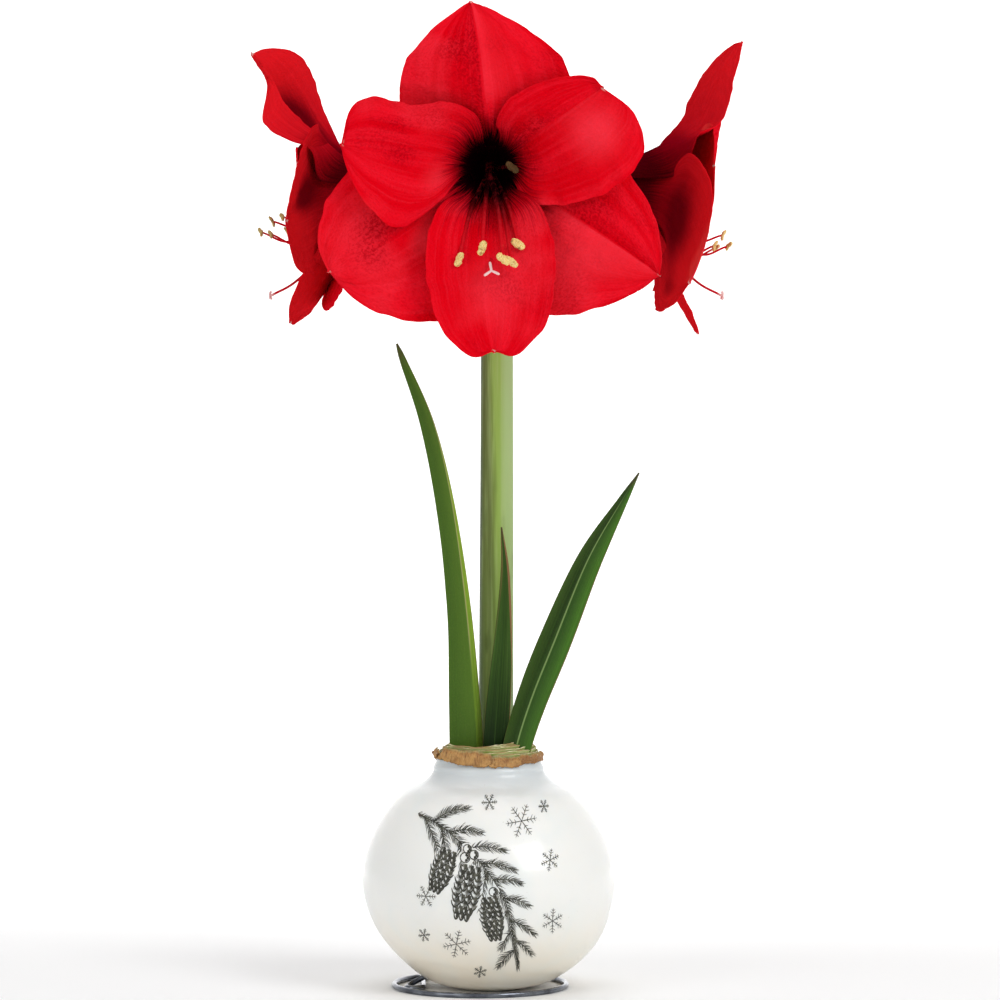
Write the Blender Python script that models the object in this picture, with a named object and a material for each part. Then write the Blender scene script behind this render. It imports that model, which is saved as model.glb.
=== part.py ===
# A flowering amaryllis grown from a wax-dipped bulb that stands on a bent-wire ring.
# Metres, +Z up. The origin is on the floor under the bulb's axis, and the front looks along -Y.
import math

import bpy
import numpy as np

GAP = 0.0003                     # clearance between neighbouring pieces

# Bulb and wax, as radius and height along the outer face of the wax
WAX_OUTLINE = [(0.0090, 0.0), (0.0150, 0.0006), (0.0262, 0.0042), (0.0384, 0.0138), (0.0468, 0.0262),
               (0.0508, 0.0430), (0.0480, 0.0572), (0.0402, 0.0712), (0.0336, 0.0786), (0.0262, 0.0826),
               (0.0230, 0.0860), (0.0214, 0.0900)]
WAX_WALL = 0.0028
WAX_LIP = 0.0016
WAX_TOP = 0.0900
LEAN = 0.0014                    # how far the lower belly sits to the right of the neck
ROUND = 26                       # sides of the turned pieces
WAX_ROWS = 14

# Neck of the bulb: rings of cut scales, from the outermost inwards
NECK_FLOOR = 0.0925
RIM_RADII = [0.0203, 0.0181, 0.0160, 0.0139]
RIM_TOPS = [0.0948, 0.0962, 0.0972, 0.0964]
RIM_WIDTH = 0.0011
RIM_BEVEL = 0.0003               # how much lower the inner edge of a cut scale lies
SOCKET_FLOOR = 0.0780
SOCKET_EASE = 0.0002             # more room round the scape

TUNIC_INNER = 0.0217
TUNIC_WALL = 0.0007

# Stand
WIRE = 0.0011                    # radius of the wire
WIRE_SIDES = 8
RING_RADIUS = 0.0344
RING_CENTRE = (-0.0033, 0.0010)
RING_START, RING_TURN = 124, 348  # degrees
PRONG_TIP = (-0.0160, -0.0028, 0.0100)
PRONG_FOOT = (-0.0285, -0.0036, 0.0032)

# Stalk
STALK_X, STALK_Y = 0.0034, 0.0080
STALK_RADIUS = 0.0065
UMBEL_Z = 0.3120
PEDICEL = 0.0030
OVARY_LENGTH = 0.0120
OVARY_RADIUS = 0.0043

# Blooms
TEPAL_WALL = 0.0008
FUNNEL_WALL = 0.0034
FUNNEL_END = 0.0115
SEAT = 0.0015                    # how far a bloom's foot lies behind the roots of its tepals
TEPAL_ROWS, TEPAL_COLUMNS = 9, 7
FILAMENT = 0.0007                # radius of filaments and style
ANTHER_HALF = 0.0030
ANTHER_RADIUS = 0.0014


def clear_scene():
    for item in list(bpy.data.objects):
        bpy.data.objects.remove(item, do_unlink=True)


def finish(name, colour, roughness, metallic=0.0):
    material = bpy.data.materials.new(name)
    material.use_nodes = True
    shader = material.node_tree.nodes["Principled BSDF"]
    shader.inputs["Base Color"].default_value = (*colour, 1.0)
    shader.inputs["Roughness"].default_value = roughness
    shader.inputs["Metallic"].default_value = metallic
    return material


def make_object(name, shape, material=None):
    points, faces = shape
    mesh = bpy.data.meshes.new(name)
    mesh.from_pydata([tuple(p) for p in points], [], faces)
    mesh.validate()
    mesh.update()
    mesh.shade_smooth()
    mesh.set_sharp_from_angle(angle=math.radians(40))
    item = bpy.data.objects.new(name, mesh)
    bpy.context.scene.collection.objects.link(item)
    if material:
        mesh.materials.append(material)
    return item


def combine(name, first, others, operation, material, solver="EXACT"):
    """One solid: the first shape joined with, or cut by, all the others"""
    item = make_object(name, first, material)
    group = bpy.data.collections.new(name + "_others")
    bpy.context.scene.collection.children.link(group)
    for number, shape in enumerate(others):
        other = make_object(f"{name}_other_{number}", shape)
        bpy.context.scene.collection.objects.unlink(other)
        group.objects.link(other)
    change = item.modifiers.new("combine", "BOOLEAN")
    change.operation = operation
    change.operand_type = "COLLECTION"
    change.collection = group
    change.solver = solver
    view = bpy.context.evaluated_depsgraph_get()
    made = bpy.data.meshes.new_from_object(item.evaluated_get(view))
    item.modifiers.clear()
    item.data = made
    made.shade_smooth()
    made.set_sharp_from_angle(angle=math.radians(40))
    for other in list(group.objects):
        bpy.data.objects.remove(other, do_unlink=True)
    bpy.data.collections.remove(group)
    return item


def ease(value, low, high):
    """0 below low, 1 above high, and a smooth rise between them"""
    share = np.clip((np.asarray(value, float) - low) / (high - low), 0.0, 1.0)
    return share * share * (3.0 - 2.0 * share)


def smooth_curve(points, count, crowd=1.0):
    """Points on a Catmull-Rom curve through the given ones; crowd above 1 sets them closer at its end"""
    given = np.array(points, float)
    ends = np.vstack([2 * given[0] - given[1], given, 2 * given[-1] - given[-2]])
    share = np.linspace(0.0, 1.0, 24, endpoint=False)[:, None]
    spans = []
    for a, b, c, d in zip(ends[:-3], ends[1:-2], ends[2:-1], ends[3:]):
        spans.append(0.5 * (2 * b + (c - a) * share + (2 * a - 5 * b + 4 * c - d) * share ** 2
                            + (3 * b - a - 3 * c + d) * share ** 3))
    dense = np.vstack(spans + [given[-1:]])
    walked = np.concatenate([[0.0], np.cumsum(np.linalg.norm(np.diff(dense, axis=0), axis=1))])
    stops = walked[-1] * (1.0 - (1.0 - np.linspace(0.0, 1.0, count)) ** crowd)
    return np.stack([np.interp(stops, walked, dense[:, k]) for k in range(dense.shape[1])], axis=1)


def unit(vectors):
    return vectors / np.linalg.norm(vectors, axis=-1, keepdims=True)


def tube(path, radii, sides, turn=0.0):
    """A closed round bar along a path, its sections kept upright"""
    path = np.asarray(path, float)
    along = unit(np.gradient(path, axis=0))
    guide = np.array([0.0, 0.0, 1.0]) if np.abs(along[:, 2]).max() < 0.9 else np.array([0.0, 1.0, 0.0])
    aside = unit(np.cross(along, guide))
    above = np.cross(aside, along)
    angle = np.arange(sides) * 2.0 * math.pi / sides + turn
    ring = np.cos(angle)[None, :, None] * aside[:, None, :] + np.sin(angle)[None, :, None] * above[:, None, :]
    radii = np.broadcast_to(np.asarray(radii, float), (len(path),))
    points = (path[:, None, :] + ring * radii[:, None, None]).reshape(-1, 3)
    faces = []
    for row in range(len(path) - 1):
        for k in range(sides):
            a, b = row * sides + k, row * sides + (k + 1) % sides
            faces.append((a, a + sides, b + sides, b))
    faces.append(tuple(range(sides)))
    faces.append(tuple(reversed(range((len(path) - 1) * sides, len(path) * sides))))
    return points, faces


def turned(rows, sides):
    """A closed solid from rings of points, each ring running once round the axis, foot to end"""
    points = np.concatenate(rows)
    faces = []
    for row in range(len(rows) - 1):
        for k in range(sides):
            a, b = row * sides + k, row * sides + (k + 1) % sides
            faces.append((a, b, b + sides, a + sides))
    faces.append(tuple(reversed(range(sides))))
    faces.append(tuple(range((len(rows) - 1) * sides, len(rows) * sides)))
    return points, faces


def ring_at(radius, height, sides=ROUND):
    """A level ring; radius and height may vary round it"""
    angle = np.arange(sides) * 2.0 * math.pi / sides
    height = np.broadcast_to(height, (sides,))
    shift = LEAN * np.exp(-((height - 0.013) / 0.014) ** 2)
    return np.stack([radius * np.cos(angle) + shift, radius * np.sin(angle), height], axis=1)


def blade(middle, wall):
    """A thin closed solid about a grid of points, both faces split into triangles alike"""
    rows, columns = middle.shape[:2]
    normal = unit(np.cross(np.gradient(middle, axis=0), np.gradient(middle, axis=1)))
    offset = normal * (np.asarray(wall)[..., None] / 2.0 if np.ndim(wall) else wall / 2.0)
    points = np.concatenate([(middle + offset).reshape(-1, 3), (middle - offset).reshape(-1, 3)])
    under = rows * columns
    faces = []
    for r in range(rows - 1):
        for c in range(columns - 1):
            a, b = r * columns + c, r * columns + c + 1
            d, e = a + columns, b + columns
            faces += [(a, d, e), (a, e, b),
                      (a + under, e + under, d + under), (a + under, b + under, e + under)]
    rim = ([(0, c) for c in range(columns - 1)] + [(r, columns - 1) for r in range(rows - 1)]
           + [(rows - 1, c) for c in range(columns - 1, 0, -1)] + [(r, 0) for r in range(rows - 1, 0, -1)])
    rim = [r * columns + c for r, c in rim]
    for a, b in zip(rim, rim[1:] + rim[:1]):
        faces += [(a, b, b + under), (a, b + under, a + under)]
    return points, faces


def wax_outline():
    """Radius and height up the outer face of the wax"""
    return smooth_curve(WAX_OUTLINE, WAX_ROWS, 1.3)


def wax_inside(more=0.0):
    """Radius and height up the inner face of the wax, or up a face that lies more than that inside"""
    outer = wax_outline()
    along = unit(np.gradient(outer, axis=0))
    share = ease(outer[:, 1], 0.070, WAX_TOP)
    wall = WAX_WALL + (WAX_LIP - WAX_WALL) * share + more
    inner = outer + np.stack([-along[:, 1], along[:, 0]], axis=1) * wall[:, None]
    inner[-1, 1] = WAX_TOP
    return inner


def prong_bore(clearance):
    """The straight hole that the stand's prong stands in"""
    foot, tip = np.array(PRONG_FOOT), np.array(PRONG_TIP)
    along = unit(tip - foot)
    return tube([foot - along * 0.003, (foot + tip) / 2, tip + along * clearance], WIRE + clearance, 12)


def make_wax(material):
    outer = [ring_at(r, z) for r, z in wax_outline()]
    inner = [ring_at(r, z) for r, z in wax_inside()[::-1]]
    return combine("wax_coat", turned(outer + inner, ROUND), [prong_bore(GAP)], "DIFFERENCE", material)


def scale_rim(number, angle):
    """How the cut edge of one scale ring wanders in height round the neck"""
    return (0.0007 * np.sin(2 * angle + 1.9 * number + 0.4) + 0.0004 * np.sin(5 * angle + 2.3 * number)
            + 0.0009 * np.sin(angle + 0.9))


def make_bulb(material):
    rows = [ring_at(r, z) for r, z in wax_inside(GAP)]
    angle = np.arange(ROUND) * 2.0 * math.pi / ROUND
    for number, (radius, top) in enumerate(zip(RIM_RADII, RIM_TOPS)):
        wander = 1.0 + 0.012 * np.sin(3 * angle + number)
        edge = top + scale_rim(number, angle)
        low = NECK_FLOOR - 0.0004 * number
        if number == 0:
            rows.append(ring_at(radius * wander, WAX_TOP + GAP + 0.0004))
        else:
            rows.append(ring_at(radius * wander, low))
        rows.append(ring_at((radius - 0.0001) * wander, edge))
        rows.append(ring_at((radius - RIM_WIDTH) * wander, edge - RIM_BEVEL))
        rows.append(ring_at((radius - RIM_WIDTH - 0.0002) * wander, low))
    rows.append(ring_at(0.0050, NECK_FLOOR))
    cutters = [prong_bore(GAP), tube([(STALK_X, STALK_Y, SOCKET_FLOOR), (STALK_X, STALK_Y, 0.110)],
                                     STALK_RADIUS + GAP + SOCKET_EASE, 16)]
    cutters += [leaf_shape(leaf, GAP) for leaf in LEAVES.values()]
    return combine("bulb", turned(rows, ROUND), cutters, "DIFFERENCE", material)


def make_tunic(material):
    """The papery collar: a band round the neck, its edges ragged and one flap lower at the front"""
    sides = 32
    angle = np.arange(sides) * 2.0 * math.pi / sides
    front = np.exp(-((angle - math.radians(262)) / 0.75) ** 2)
    left = np.exp(-((angle - math.radians(180)) / 0.22) ** 2)
    low = 0.0898 - 0.0012 * front + 0.0005 * np.sin(7 * angle) + 0.0003 * np.sin(11 * angle + 1)
    high = (0.0945 + 0.0007 * np.sin(2 * angle + 0.6) + 0.0004 * np.sin(9 * angle)
            + 0.0012 * left - 0.0006 * front)
    pucker = 0.00025 * (1 + np.sin(8 * angle + 0.5)) + 0.0008 * left
    inner, rows = TUNIC_INNER, []
    for share, flare in ((0.0, 0.0010), (0.35, 0.0002), (0.75, 0.0001), (1.0, -0.0003)):
        radius = inner + flare + pucker * share
        rows.append((radius, low + (high - low) * share))
    out = [ring_at(radius + TUNIC_WALL, z, sides) for radius, z in rows]
    back = [ring_at(radius, z, sides) for radius, z in rows[::-1]]
    points = np.concatenate(out + back)
    faces = []
    count = len(out) + len(back)
    for row in range(count):
        for k in range(sides):
            a, b = row * sides + k, row * sides + (k + 1) % sides
            up = ((row + 1) % count - row) * sides
            faces.append((a, b, b + up, a + up))
    return make_object("tunic", (points, faces), material)


def make_wire(material):
    """One wire: prong, flat eye, run to the back, and the ring round to its free end"""
    level = WIRE * math.cos(math.pi / WIRE_SIDES)
    foot, tip = np.array(PRONG_FOOT), np.array(PRONG_TIP)
    prong = [tip + (foot - tip) * share for share in (0.0, 0.5, 1.0)]
    eye = [(-0.0306, -0.0043, 0.0021), (-0.0322, -0.0062, level + 0.0002), (-0.0322, -0.0090, level),
           (-0.0303, -0.0108, level), (-0.0277, -0.0104, level), (-0.0263, -0.0082, level),
           (-0.0260, -0.0030, level), (-0.0262, 0.0080, level), (-0.0266, 0.0180, level)]
    turn = np.radians(np.linspace(RING_START, RING_START - RING_TURN, 40))
    ring = [(RING_CENTRE[0] + RING_RADIUS * math.cos(a), RING_CENTRE[1] + RING_RADIUS * math.sin(a), level)
            for a in turn]
    hook = smooth_curve([prong[-1]] + eye + ring[:1], 26)
    path = np.vstack([prong[:-1], hook[:-1], ring])
    return make_object("wire_stand", tube(path, WIRE, WIRE_SIDES, math.pi / WIRE_SIDES), material)


# Leaves: the middle line, half widths along it, how deep the channel is, and the way its face looks
LEAVES = {
    "leaf_left": {
        "line": [(-0.0088, -0.0010, SOCKET_FLOOR + GAP), (-0.0090, -0.0010, 0.0960),
                 (-0.0098, -0.0012, 0.1146), (-0.0122, -0.0016, 0.1546), (-0.0176, -0.0020, 0.1946),
                 (-0.0248, -0.0010, 0.2266), (-0.0340, 0.0010, 0.2506), (-0.0366, 0.0016, 0.2570)],
        "half": [0.0050, 0.0064, 0.0060, 0.0045, 0.0034, 0.0025, 0.0013, 0.0005],
        "channel": 0.0014, "face": (0.25, -1.0, 0.0)},
    "leaf_middle": {
        "line": [(0.0028, -0.0062, SOCKET_FLOOR + GAP), (0.0028, -0.0062, 0.0960), (0.0044, -0.0062, 0.1202),
                 (0.0059, -0.0058, 0.1418), (0.0066, -0.0050, 0.1662), (0.0052, -0.0046, 0.1842)],
        "half": [0.0042, 0.0049, 0.0046, 0.0034, 0.0018, 0.0005],
        "channel": -0.0010, "face": (0.0, -1.0, 0.0)},
    "leaf_right": {
        "line": [(0.0086, -0.0016, SOCKET_FLOOR + GAP), (0.0102, -0.0014, 0.0950), (0.0161, -0.0003, 0.1146),
                 (0.0260, -0.0006, 0.1386), (0.0398, -0.0020, 0.1706), (0.0532, -0.0030, 0.1946),
                 (0.0598, -0.0034, 0.2058)],
        "half": [0.0048, 0.0060, 0.0064, 0.0066, 0.0050, 0.0020, 0.0005],
        "channel": 0.0018, "face": (-0.20, -1.0, 0.0)},
}
LEAF_ROWS = 18


def leaf_shape(leaf, grow=0.0):
    """A strap leaf: a folded blade, thick at its rib; grow swells it all round, for its socket"""
    half = np.array(leaf["half"])
    line = np.column_stack([np.array(leaf["line"]), half])
    even = smooth_curve(line, LEAF_ROWS)
    spine, half = even[:, :3].copy(), even[:, 3] + grow
    along = unit(np.gradient(spine, axis=0))
    if grow:
        spine[0, 2] -= grow
    across = unit(np.cross(np.array(leaf["face"]), along))
    outward = np.cross(along, across)
    v = np.linspace(-1.0, 1.0, 5)
    fold = leaf["channel"] * (np.abs(v) - 0.5) * 2.0
    share = np.linspace(0.0, 1.0, LEAF_ROWS)
    slim = np.clip(half / half.max(), 0.15, 1.0)
    grid = (spine[:, None, :] + across[:, None, :] * (half[:, None] * v[None, :])[..., None]
            + outward[:, None, :] * (slim[:, None] * fold[None, :])[..., None])
    rib = 0.0008 + 0.0014 * (1.0 - np.abs(v)) ** 0.7
    wall = rib[None, :] * (1.0 - 0.35 * share[:, None]) + 2.0 * grow
    return blade(grid, np.maximum(wall, 0.0007))


# Blooms. A tepal is given by its azimuth, seen by one who looks into the mouth, and by its length and
# half width; the angles from the bloom's axis are its funnel, its flare, and the curl added at its tip.
# It starts to flare at the arc length opens and has done so at open; its sections lose the round of the
# funnel between the two shares in relax. The anthers hang a drop below the axis, the stigma a dip below.
PLAIN = {"funnel": 17, "flare": 84, "opens": 0.018, "open": 0.072, "curl": 5, "root": 0.0048, "cup": -5.0,
         "wave": 0.0016, "phase": 0.0, "twist": 0, "sweep": 0, "skew": 0.0, "share": 0.95,
         "relax": (0.12, 0.50), "close": 0.5, "shoulder": 0.0, "fold": 0.0}
INNER = {"root": 0.0034, "cup": 8.0, "opens": 0.022, "open": 0.078, "share": 0.84, "relax": (0.28, 0.80)}
BACK_OUTER = {"flare": 92, "opens": 0.016, "open": 0.061}
BACK_INNER = {**INNER, "flare": 92, "opens": 0.020, "open": 0.067}
BLOOMS = {
    "bloom_front": {"foot": (0.0010, -0.0260, 0.3275), "axis": (-0.02, -1.0, -0.03),
                    "drop": 0.033, "dip": 0.041, "tepals": [
        {"azimuth": 90, "length": 0.0885, "half": 0.0318, "curl": 30, "sweep": 6, "close": 0.9},
        {"azimuth": 213, "length": 0.0975, "half": 0.0330, "skew": 0.17, "close": 0.63, "phase": 0.3},
        {"azimuth": 330, "length": 0.102, "half": 0.0325, "skew": -0.17, "sweep": -2, "close": 0.85,
         "phase": 0.6},
        {**INNER, "azimuth": 171, "length": 0.086, "half": 0.0236, "skew": 0.26, "shoulder": -0.6,
         "phase": 0.1},
        {**INNER, "azimuth": 33, "length": 0.087, "half": 0.0240, "skew": -0.32, "shoulder": -0.2,
         "phase": 0.8},
        {**INNER, "azimuth": 272, "length": 0.101, "half": 0.0238, "curl": 2, "close": 0.45, "phase": 0.4}]},
    "bloom_left": {"foot": (-0.0340, 0.0100, 0.3195), "axis": (-1.0, 0.12, -0.05),
                   "drop": 0.013, "dip": 0.037, "tepals": [
        {"azimuth": 80, "length": 0.0795, "half": 0.0245, "flare": 50, "opens": 0.002, "open": 0.036,
         "skew": -0.04, "twist": -36, "close": 0.9, "shoulder": 0.48, "fold": 0.006},
        {**BACK_OUTER, "azimuth": 214, "length": 0.074, "half": 0.0260, "phase": 0.2},
        {**BACK_OUTER, "azimuth": 349, "length": 0.077, "half": 0.0270, "flare": 79, "open": 0.045,
         "skew": 0.11, "shoulder": -0.3, "close": 0.66, "phase": 0.5},
        {**BACK_INNER, "azimuth": 150, "length": 0.074, "half": 0.0250, "phase": 0.7},
        {**BACK_INNER, "azimuth": 14, "length": 0.066, "half": 0.0180, "flare": 94, "open": 0.055,
         "phase": 0.1},
        {**INNER, "azimuth": 294, "length": 0.071, "half": 0.0150, "flare": 54, "opens": 0.0, "open": 0.020,
         "phase": 0.9}]},
    "bloom_right": {"foot": (0.0400, 0.0100, 0.3190), "axis": (1.0, 0.12, -0.05),
                    "drop": 0.014, "dip": 0.037, "tepals": [
        {"azimuth": 94, "length": 0.0875, "half": 0.0185, "funnel": 24, "flare": 71, "opens": 0.037,
         "open": 0.055, "curl": -14, "twist": 18, "close": 0.9, "skew": -0.12},
        {**BACK_OUTER, "azimuth": 214, "length": 0.079, "half": 0.0325, "flare": 84, "open": 0.044,
         "skew": -0.25, "close": 0.55, "twist": -17, "phase": 0.4},
        {**BACK_OUTER, "azimuth": 328, "length": 0.078, "half": 0.0260, "flare": 95, "phase": 0.1},
        {**BACK_INNER, "azimuth": 168, "length": 0.073, "half": 0.0205, "flare": 78, "open": 0.055,
         "phase": 0.8},
        {**INNER, "azimuth": 30, "length": 0.076, "half": 0.0240, "flare": 70, "phase": 0.3},
        {**INNER, "azimuth": 268, "length": 0.073, "half": 0.0150, "flare": 57, "opens": 0.006, "open": 0.030,
         "phase": 0.6}]},
}
# Anthers seen by one who looks into the mouth: right and down of the drop, and how far out they stand
ANTHERS = [(-0.011, 0.003, 0.055), (-0.004, -0.001, 0.060), (0.002, 0.001, 0.064), (0.006, -0.002, 0.059),
           (0.010, 0.003, 0.053), (0.008, 0.022, 0.036)]


def midrib(tepal, u):
    """Radius from the axis, depth along it and angle to it, at shares u of a tepal's length"""
    fine = np.linspace(0.0, 1.0, 201)
    flared = ease(fine * tepal["length"], tepal["opens"], tepal["open"])
    angle = np.radians(tepal["funnel"] + (tepal["flare"] - tepal["funnel"]) * flared
                       + tepal["curl"] * ease(fine, 0.72, 1.0))
    step = tepal["length"] / 200.0
    radius = tepal["root"] + np.concatenate([[0.0], np.cumsum(np.sin(angle[:-1]) * step)])
    depth = np.concatenate([[0.0], np.cumsum(np.cos(angle[:-1]) * step)])
    return np.interp(u, fine, radius), np.interp(u, fine, depth), np.interp(u, fine, angle)


def tepal_width(tepal, u, v):
    """Half width: narrow in the funnel, widest past the middle, round at the tip, one side fuller there"""
    swell, close = 1.2, tepal["close"] * (1.0 - tepal["shoulder"] * v / np.sqrt(v * v + 0.03))
    peak = swell / (swell + close)
    blade_share = u ** swell * np.clip(1.0 - u, 0.0, 1.0) ** close / (peak ** swell * (1.0 - peak) ** close)
    return 0.0052 * (1.0 - u) ** 2 + tepal["half"] * blade_share + 0.0011


def tepal_points(tepal, rows, columns):
    """A tepal's middle surface: sections bowed round the axis in the funnel, nearly flat in the flare"""
    tepal = {**PLAIN, **tepal}
    share = 1.0 - (1.0 - np.linspace(0.0, 1.0, rows)) ** 1.25
    u, v = np.meshgrid(share, np.linspace(-1.0, 1.0, columns), indexing="ij")
    radius, depth, angle = midrib(tepal, u)
    flat = ease(u, *tepal["relax"])
    bow = (1.0 - flat) / np.maximum(radius, 0.004) + flat * tepal["cup"]
    bow = np.where(np.abs(bow) < 0.001, 0.001, bow)
    wish = tepal_width(tepal, u, v) * (1.0 + tepal["skew"] * v)
    room = tepal["share"] * math.pi / 3 * radius * (1.0 + 1.6 * flat)
    reach = v * (wish ** -8 + room ** -8) ** -0.125
    side, lift = np.sin(bow * reach) / bow, (1.0 - np.cos(bow * reach)) / bow
    full = ease(u, 0.25, 0.6)
    wave = np.sin(2.0 * math.pi * (2.2 * u + tepal["phase"] + 0.25 * np.sign(v)))
    lift = lift + full * tepal["wave"] * np.abs(v) ** 2.5 * wave
    lift = lift - 0.0014 * full * (1.0 - u) ** 0.3 * np.exp(-(v / 0.15) ** 2)
    lift = lift + full * tepal["fold"] * np.abs(v) * (1.0 - u) ** 0.3
    twist = math.radians(tepal["twist"]) * ease(u, 0.35, 0.95)
    across = np.cos(twist) * side - np.sin(twist) * lift
    out = np.sin(twist) * side + np.cos(twist) * lift
    azimuth = math.radians(tepal["azimuth"]) + math.radians(tepal["sweep"]) * u * u
    radial, axial = radius - out * np.cos(angle), depth + out * np.sin(angle)
    return np.stack([radial * np.cos(azimuth) - across * np.sin(azimuth),
                     radial * np.sin(azimuth) + across * np.cos(azimuth), axial], axis=-1)


def bloom_frame(axis):
    """Rows: right as seen by one who looks into the mouth, up, and the axis out of the mouth"""
    outward = unit(np.array(axis, float))
    right = unit(np.cross([0.0, 0.0, 1.0], outward))
    return np.stack([right, np.cross(outward, right), outward])


def placed(shape, foot, frame):
    points, faces = shape
    return points @ frame + np.array(foot), faces


def funnel_shape():
    """The tube that the tepals spring from: solid at its foot, then a wall as steep as the tepals"""
    sides, slope = 16, math.tan(math.radians(PLAIN["funnel"]))
    middle = (PLAIN["root"] + INNER["root"]) / 2
    half = FUNNEL_WALL / 2
    wide = middle + FUNNEL_END * slope
    outline = [(middle + half * 0.6, -SEAT), (middle + half, 0.002), (wide + half, FUNNEL_END),
               (wide - half, FUNNEL_END), (middle + 0.004 * slope - half, 0.004)]
    angle = np.arange(sides) * 2.0 * math.pi / sides
    rows = [np.stack([r * np.cos(angle), r * np.sin(angle), np.full(sides, z)], axis=1) for r, z in outline]
    return turned(rows, sides)


def stamen_shapes(drop, dip):
    """Six filaments that dip under the mouth, each with a bar-shaped anther, and the longer style"""
    shapes = []
    for number, (right, down, out) in enumerate(ANTHERS):
        turn = math.radians(60 * number + 15)
        root = np.array([0.0016 * math.cos(turn), 0.0016 * math.sin(turn), 0.0030])
        below = -drop + down if number < 5 else -0.2 * drop
        tip = np.array([right, below, out])
        path = smooth_curve([root, (root[0] + 0.15 * right, root[1] + 0.06 * below, 0.38 * out),
                             (0.65 * right, 0.50 * below, 0.76 * out), tip], 6)
        shapes.append(tube(path, FILAMENT, 3))
        lean = unit(np.array([0.5 * math.cos(turn), 0.7, 0.6 * math.sin(turn)])) * ANTHER_HALF
        ends = [tip + lean * share for share in (-1.0, -0.5, 0.5, 1.0)]
        shapes.append(tube(ends, [0.0006, ANTHER_RADIUS, ANTHER_RADIUS, 0.0006], 4))
    path = smooth_curve([(0.0, -0.0006, 0.003), (0.0, -0.07 * dip, 0.024), (0.001, -0.48 * dip, 0.045),
                         (0.0015, -dip, 0.060)], 8)
    shapes.append(tube(path, [FILAMENT] * 7 + [0.0010], 3))
    return shapes


def make_bloom(name, bloom, material):
    frame = bloom_frame(bloom["axis"])
    shapes = [blade(tepal_points(tepal, TEPAL_ROWS, TEPAL_COLUMNS), TEPAL_WALL) for tepal in bloom["tepals"]]
    shapes += stamen_shapes(bloom["drop"], bloom["dip"])
    parts = [placed(shape, bloom["foot"], frame) for shape in shapes]
    return combine(name, placed(funnel_shape(), bloom["foot"], frame), parts, "UNION", material, "MANIFOLD")


def make_stalk(material):
    """The scape, and for each bloom a pedicel that ends in the ovary behind the funnel"""
    up = [(STALK_X, STALK_Y, SOCKET_FLOOR + GAP), (STALK_X, STALK_Y, 0.200), (STALK_X, STALK_Y, UMBEL_Z)]
    scape = tube(up, [STALK_RADIUS * 1.02, STALK_RADIUS, STALK_RADIUS * 0.97], 18)
    crown = np.array([STALK_X, STALK_Y, UMBEL_Z - 0.004])
    others = []
    for bloom in BLOOMS.values():
        outward = unit(np.array(bloom["axis"]))
        seat = np.array(bloom["foot"]) - outward * (SEAT + GAP)
        back = seat - outward * OVARY_LENGTH
        path = smooth_curve([crown, crown * 0.55 + back * 0.45 + np.array([0, 0, 0.003]), back,
                             back + outward * 0.003], 7)
        others.append(tube(path, PEDICEL, 10))
        swell = [(0.0, 0.55), (0.18, 0.9), (0.45, 1.0), (0.75, 0.98), (1.0, 0.92)]
        body = [back + outward * OVARY_LENGTH * share for share, _ in swell]
        others.append(tube(body, [OVARY_RADIUS * size for _, size in swell], 12))
    return combine("flower_stalk", scape, others, "UNION", material)


SPATHE = {"funnel": 6, "flare": 44, "opens": 0.003, "open": 0.031, "curl": 12, "root": STALK_RADIUS + 0.0009,
          "share": 1.0, "relax": (0.1, 0.6), "cup": 60.0, "length": 0.034, "half": 0.0050, "close": 0.7,
          "wave": 0.0006, "phase": 0.2}


def make_spathe(name, azimuth, material):
    """A withered bract that clasps the top of the scape and hangs away from it"""
    frame = bloom_frame((0.001, 0.0, -1.0))
    shape = blade(tepal_points({**SPATHE, "azimuth": azimuth}, 9, 5), TEPAL_WALL)
    return make_object(name, placed(shape, (STALK_X, STALK_Y, UMBEL_Z - 0.009), frame), material)


def main():
    clear_scene()
    steel = finish("steel", (0.32, 0.33, 0.35), 0.25, 1.0)
    wax = finish("wax", (0.90, 0.90, 0.87), 0.40)
    scales = finish("scales", (0.52, 0.55, 0.25), 0.60)
    paper = finish("dry_tunic", (0.50, 0.30, 0.13), 0.70)
    stem = finish("stem", (0.22, 0.34, 0.10), 0.45)
    bract = finish("dry_bract", (0.45, 0.33, 0.18), 0.75)
    foliage = finish("foliage", (0.06, 0.18, 0.03), 0.45)
    petal = finish("petal", (0.75, 0.01, 0.02), 0.45)

    make_wire(steel)
    make_wax(wax)
    make_bulb(scales)
    make_tunic(paper)
    make_stalk(stem)
    make_spathe("spathe_left", 305, bract)
    make_spathe("spathe_right", 55, bract)
    for name, leaf in LEAVES.items():
        make_object(name, leaf_shape(leaf), foliage)
    for name, bloom in BLOOMS.items():
        make_bloom(name, bloom, petal)


main()
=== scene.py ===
# Looks of a flowering amaryllis grown from a wax-dipped bulb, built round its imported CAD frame.
# Metres, +Z up, the front bloom faces -Y.
import math

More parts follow.
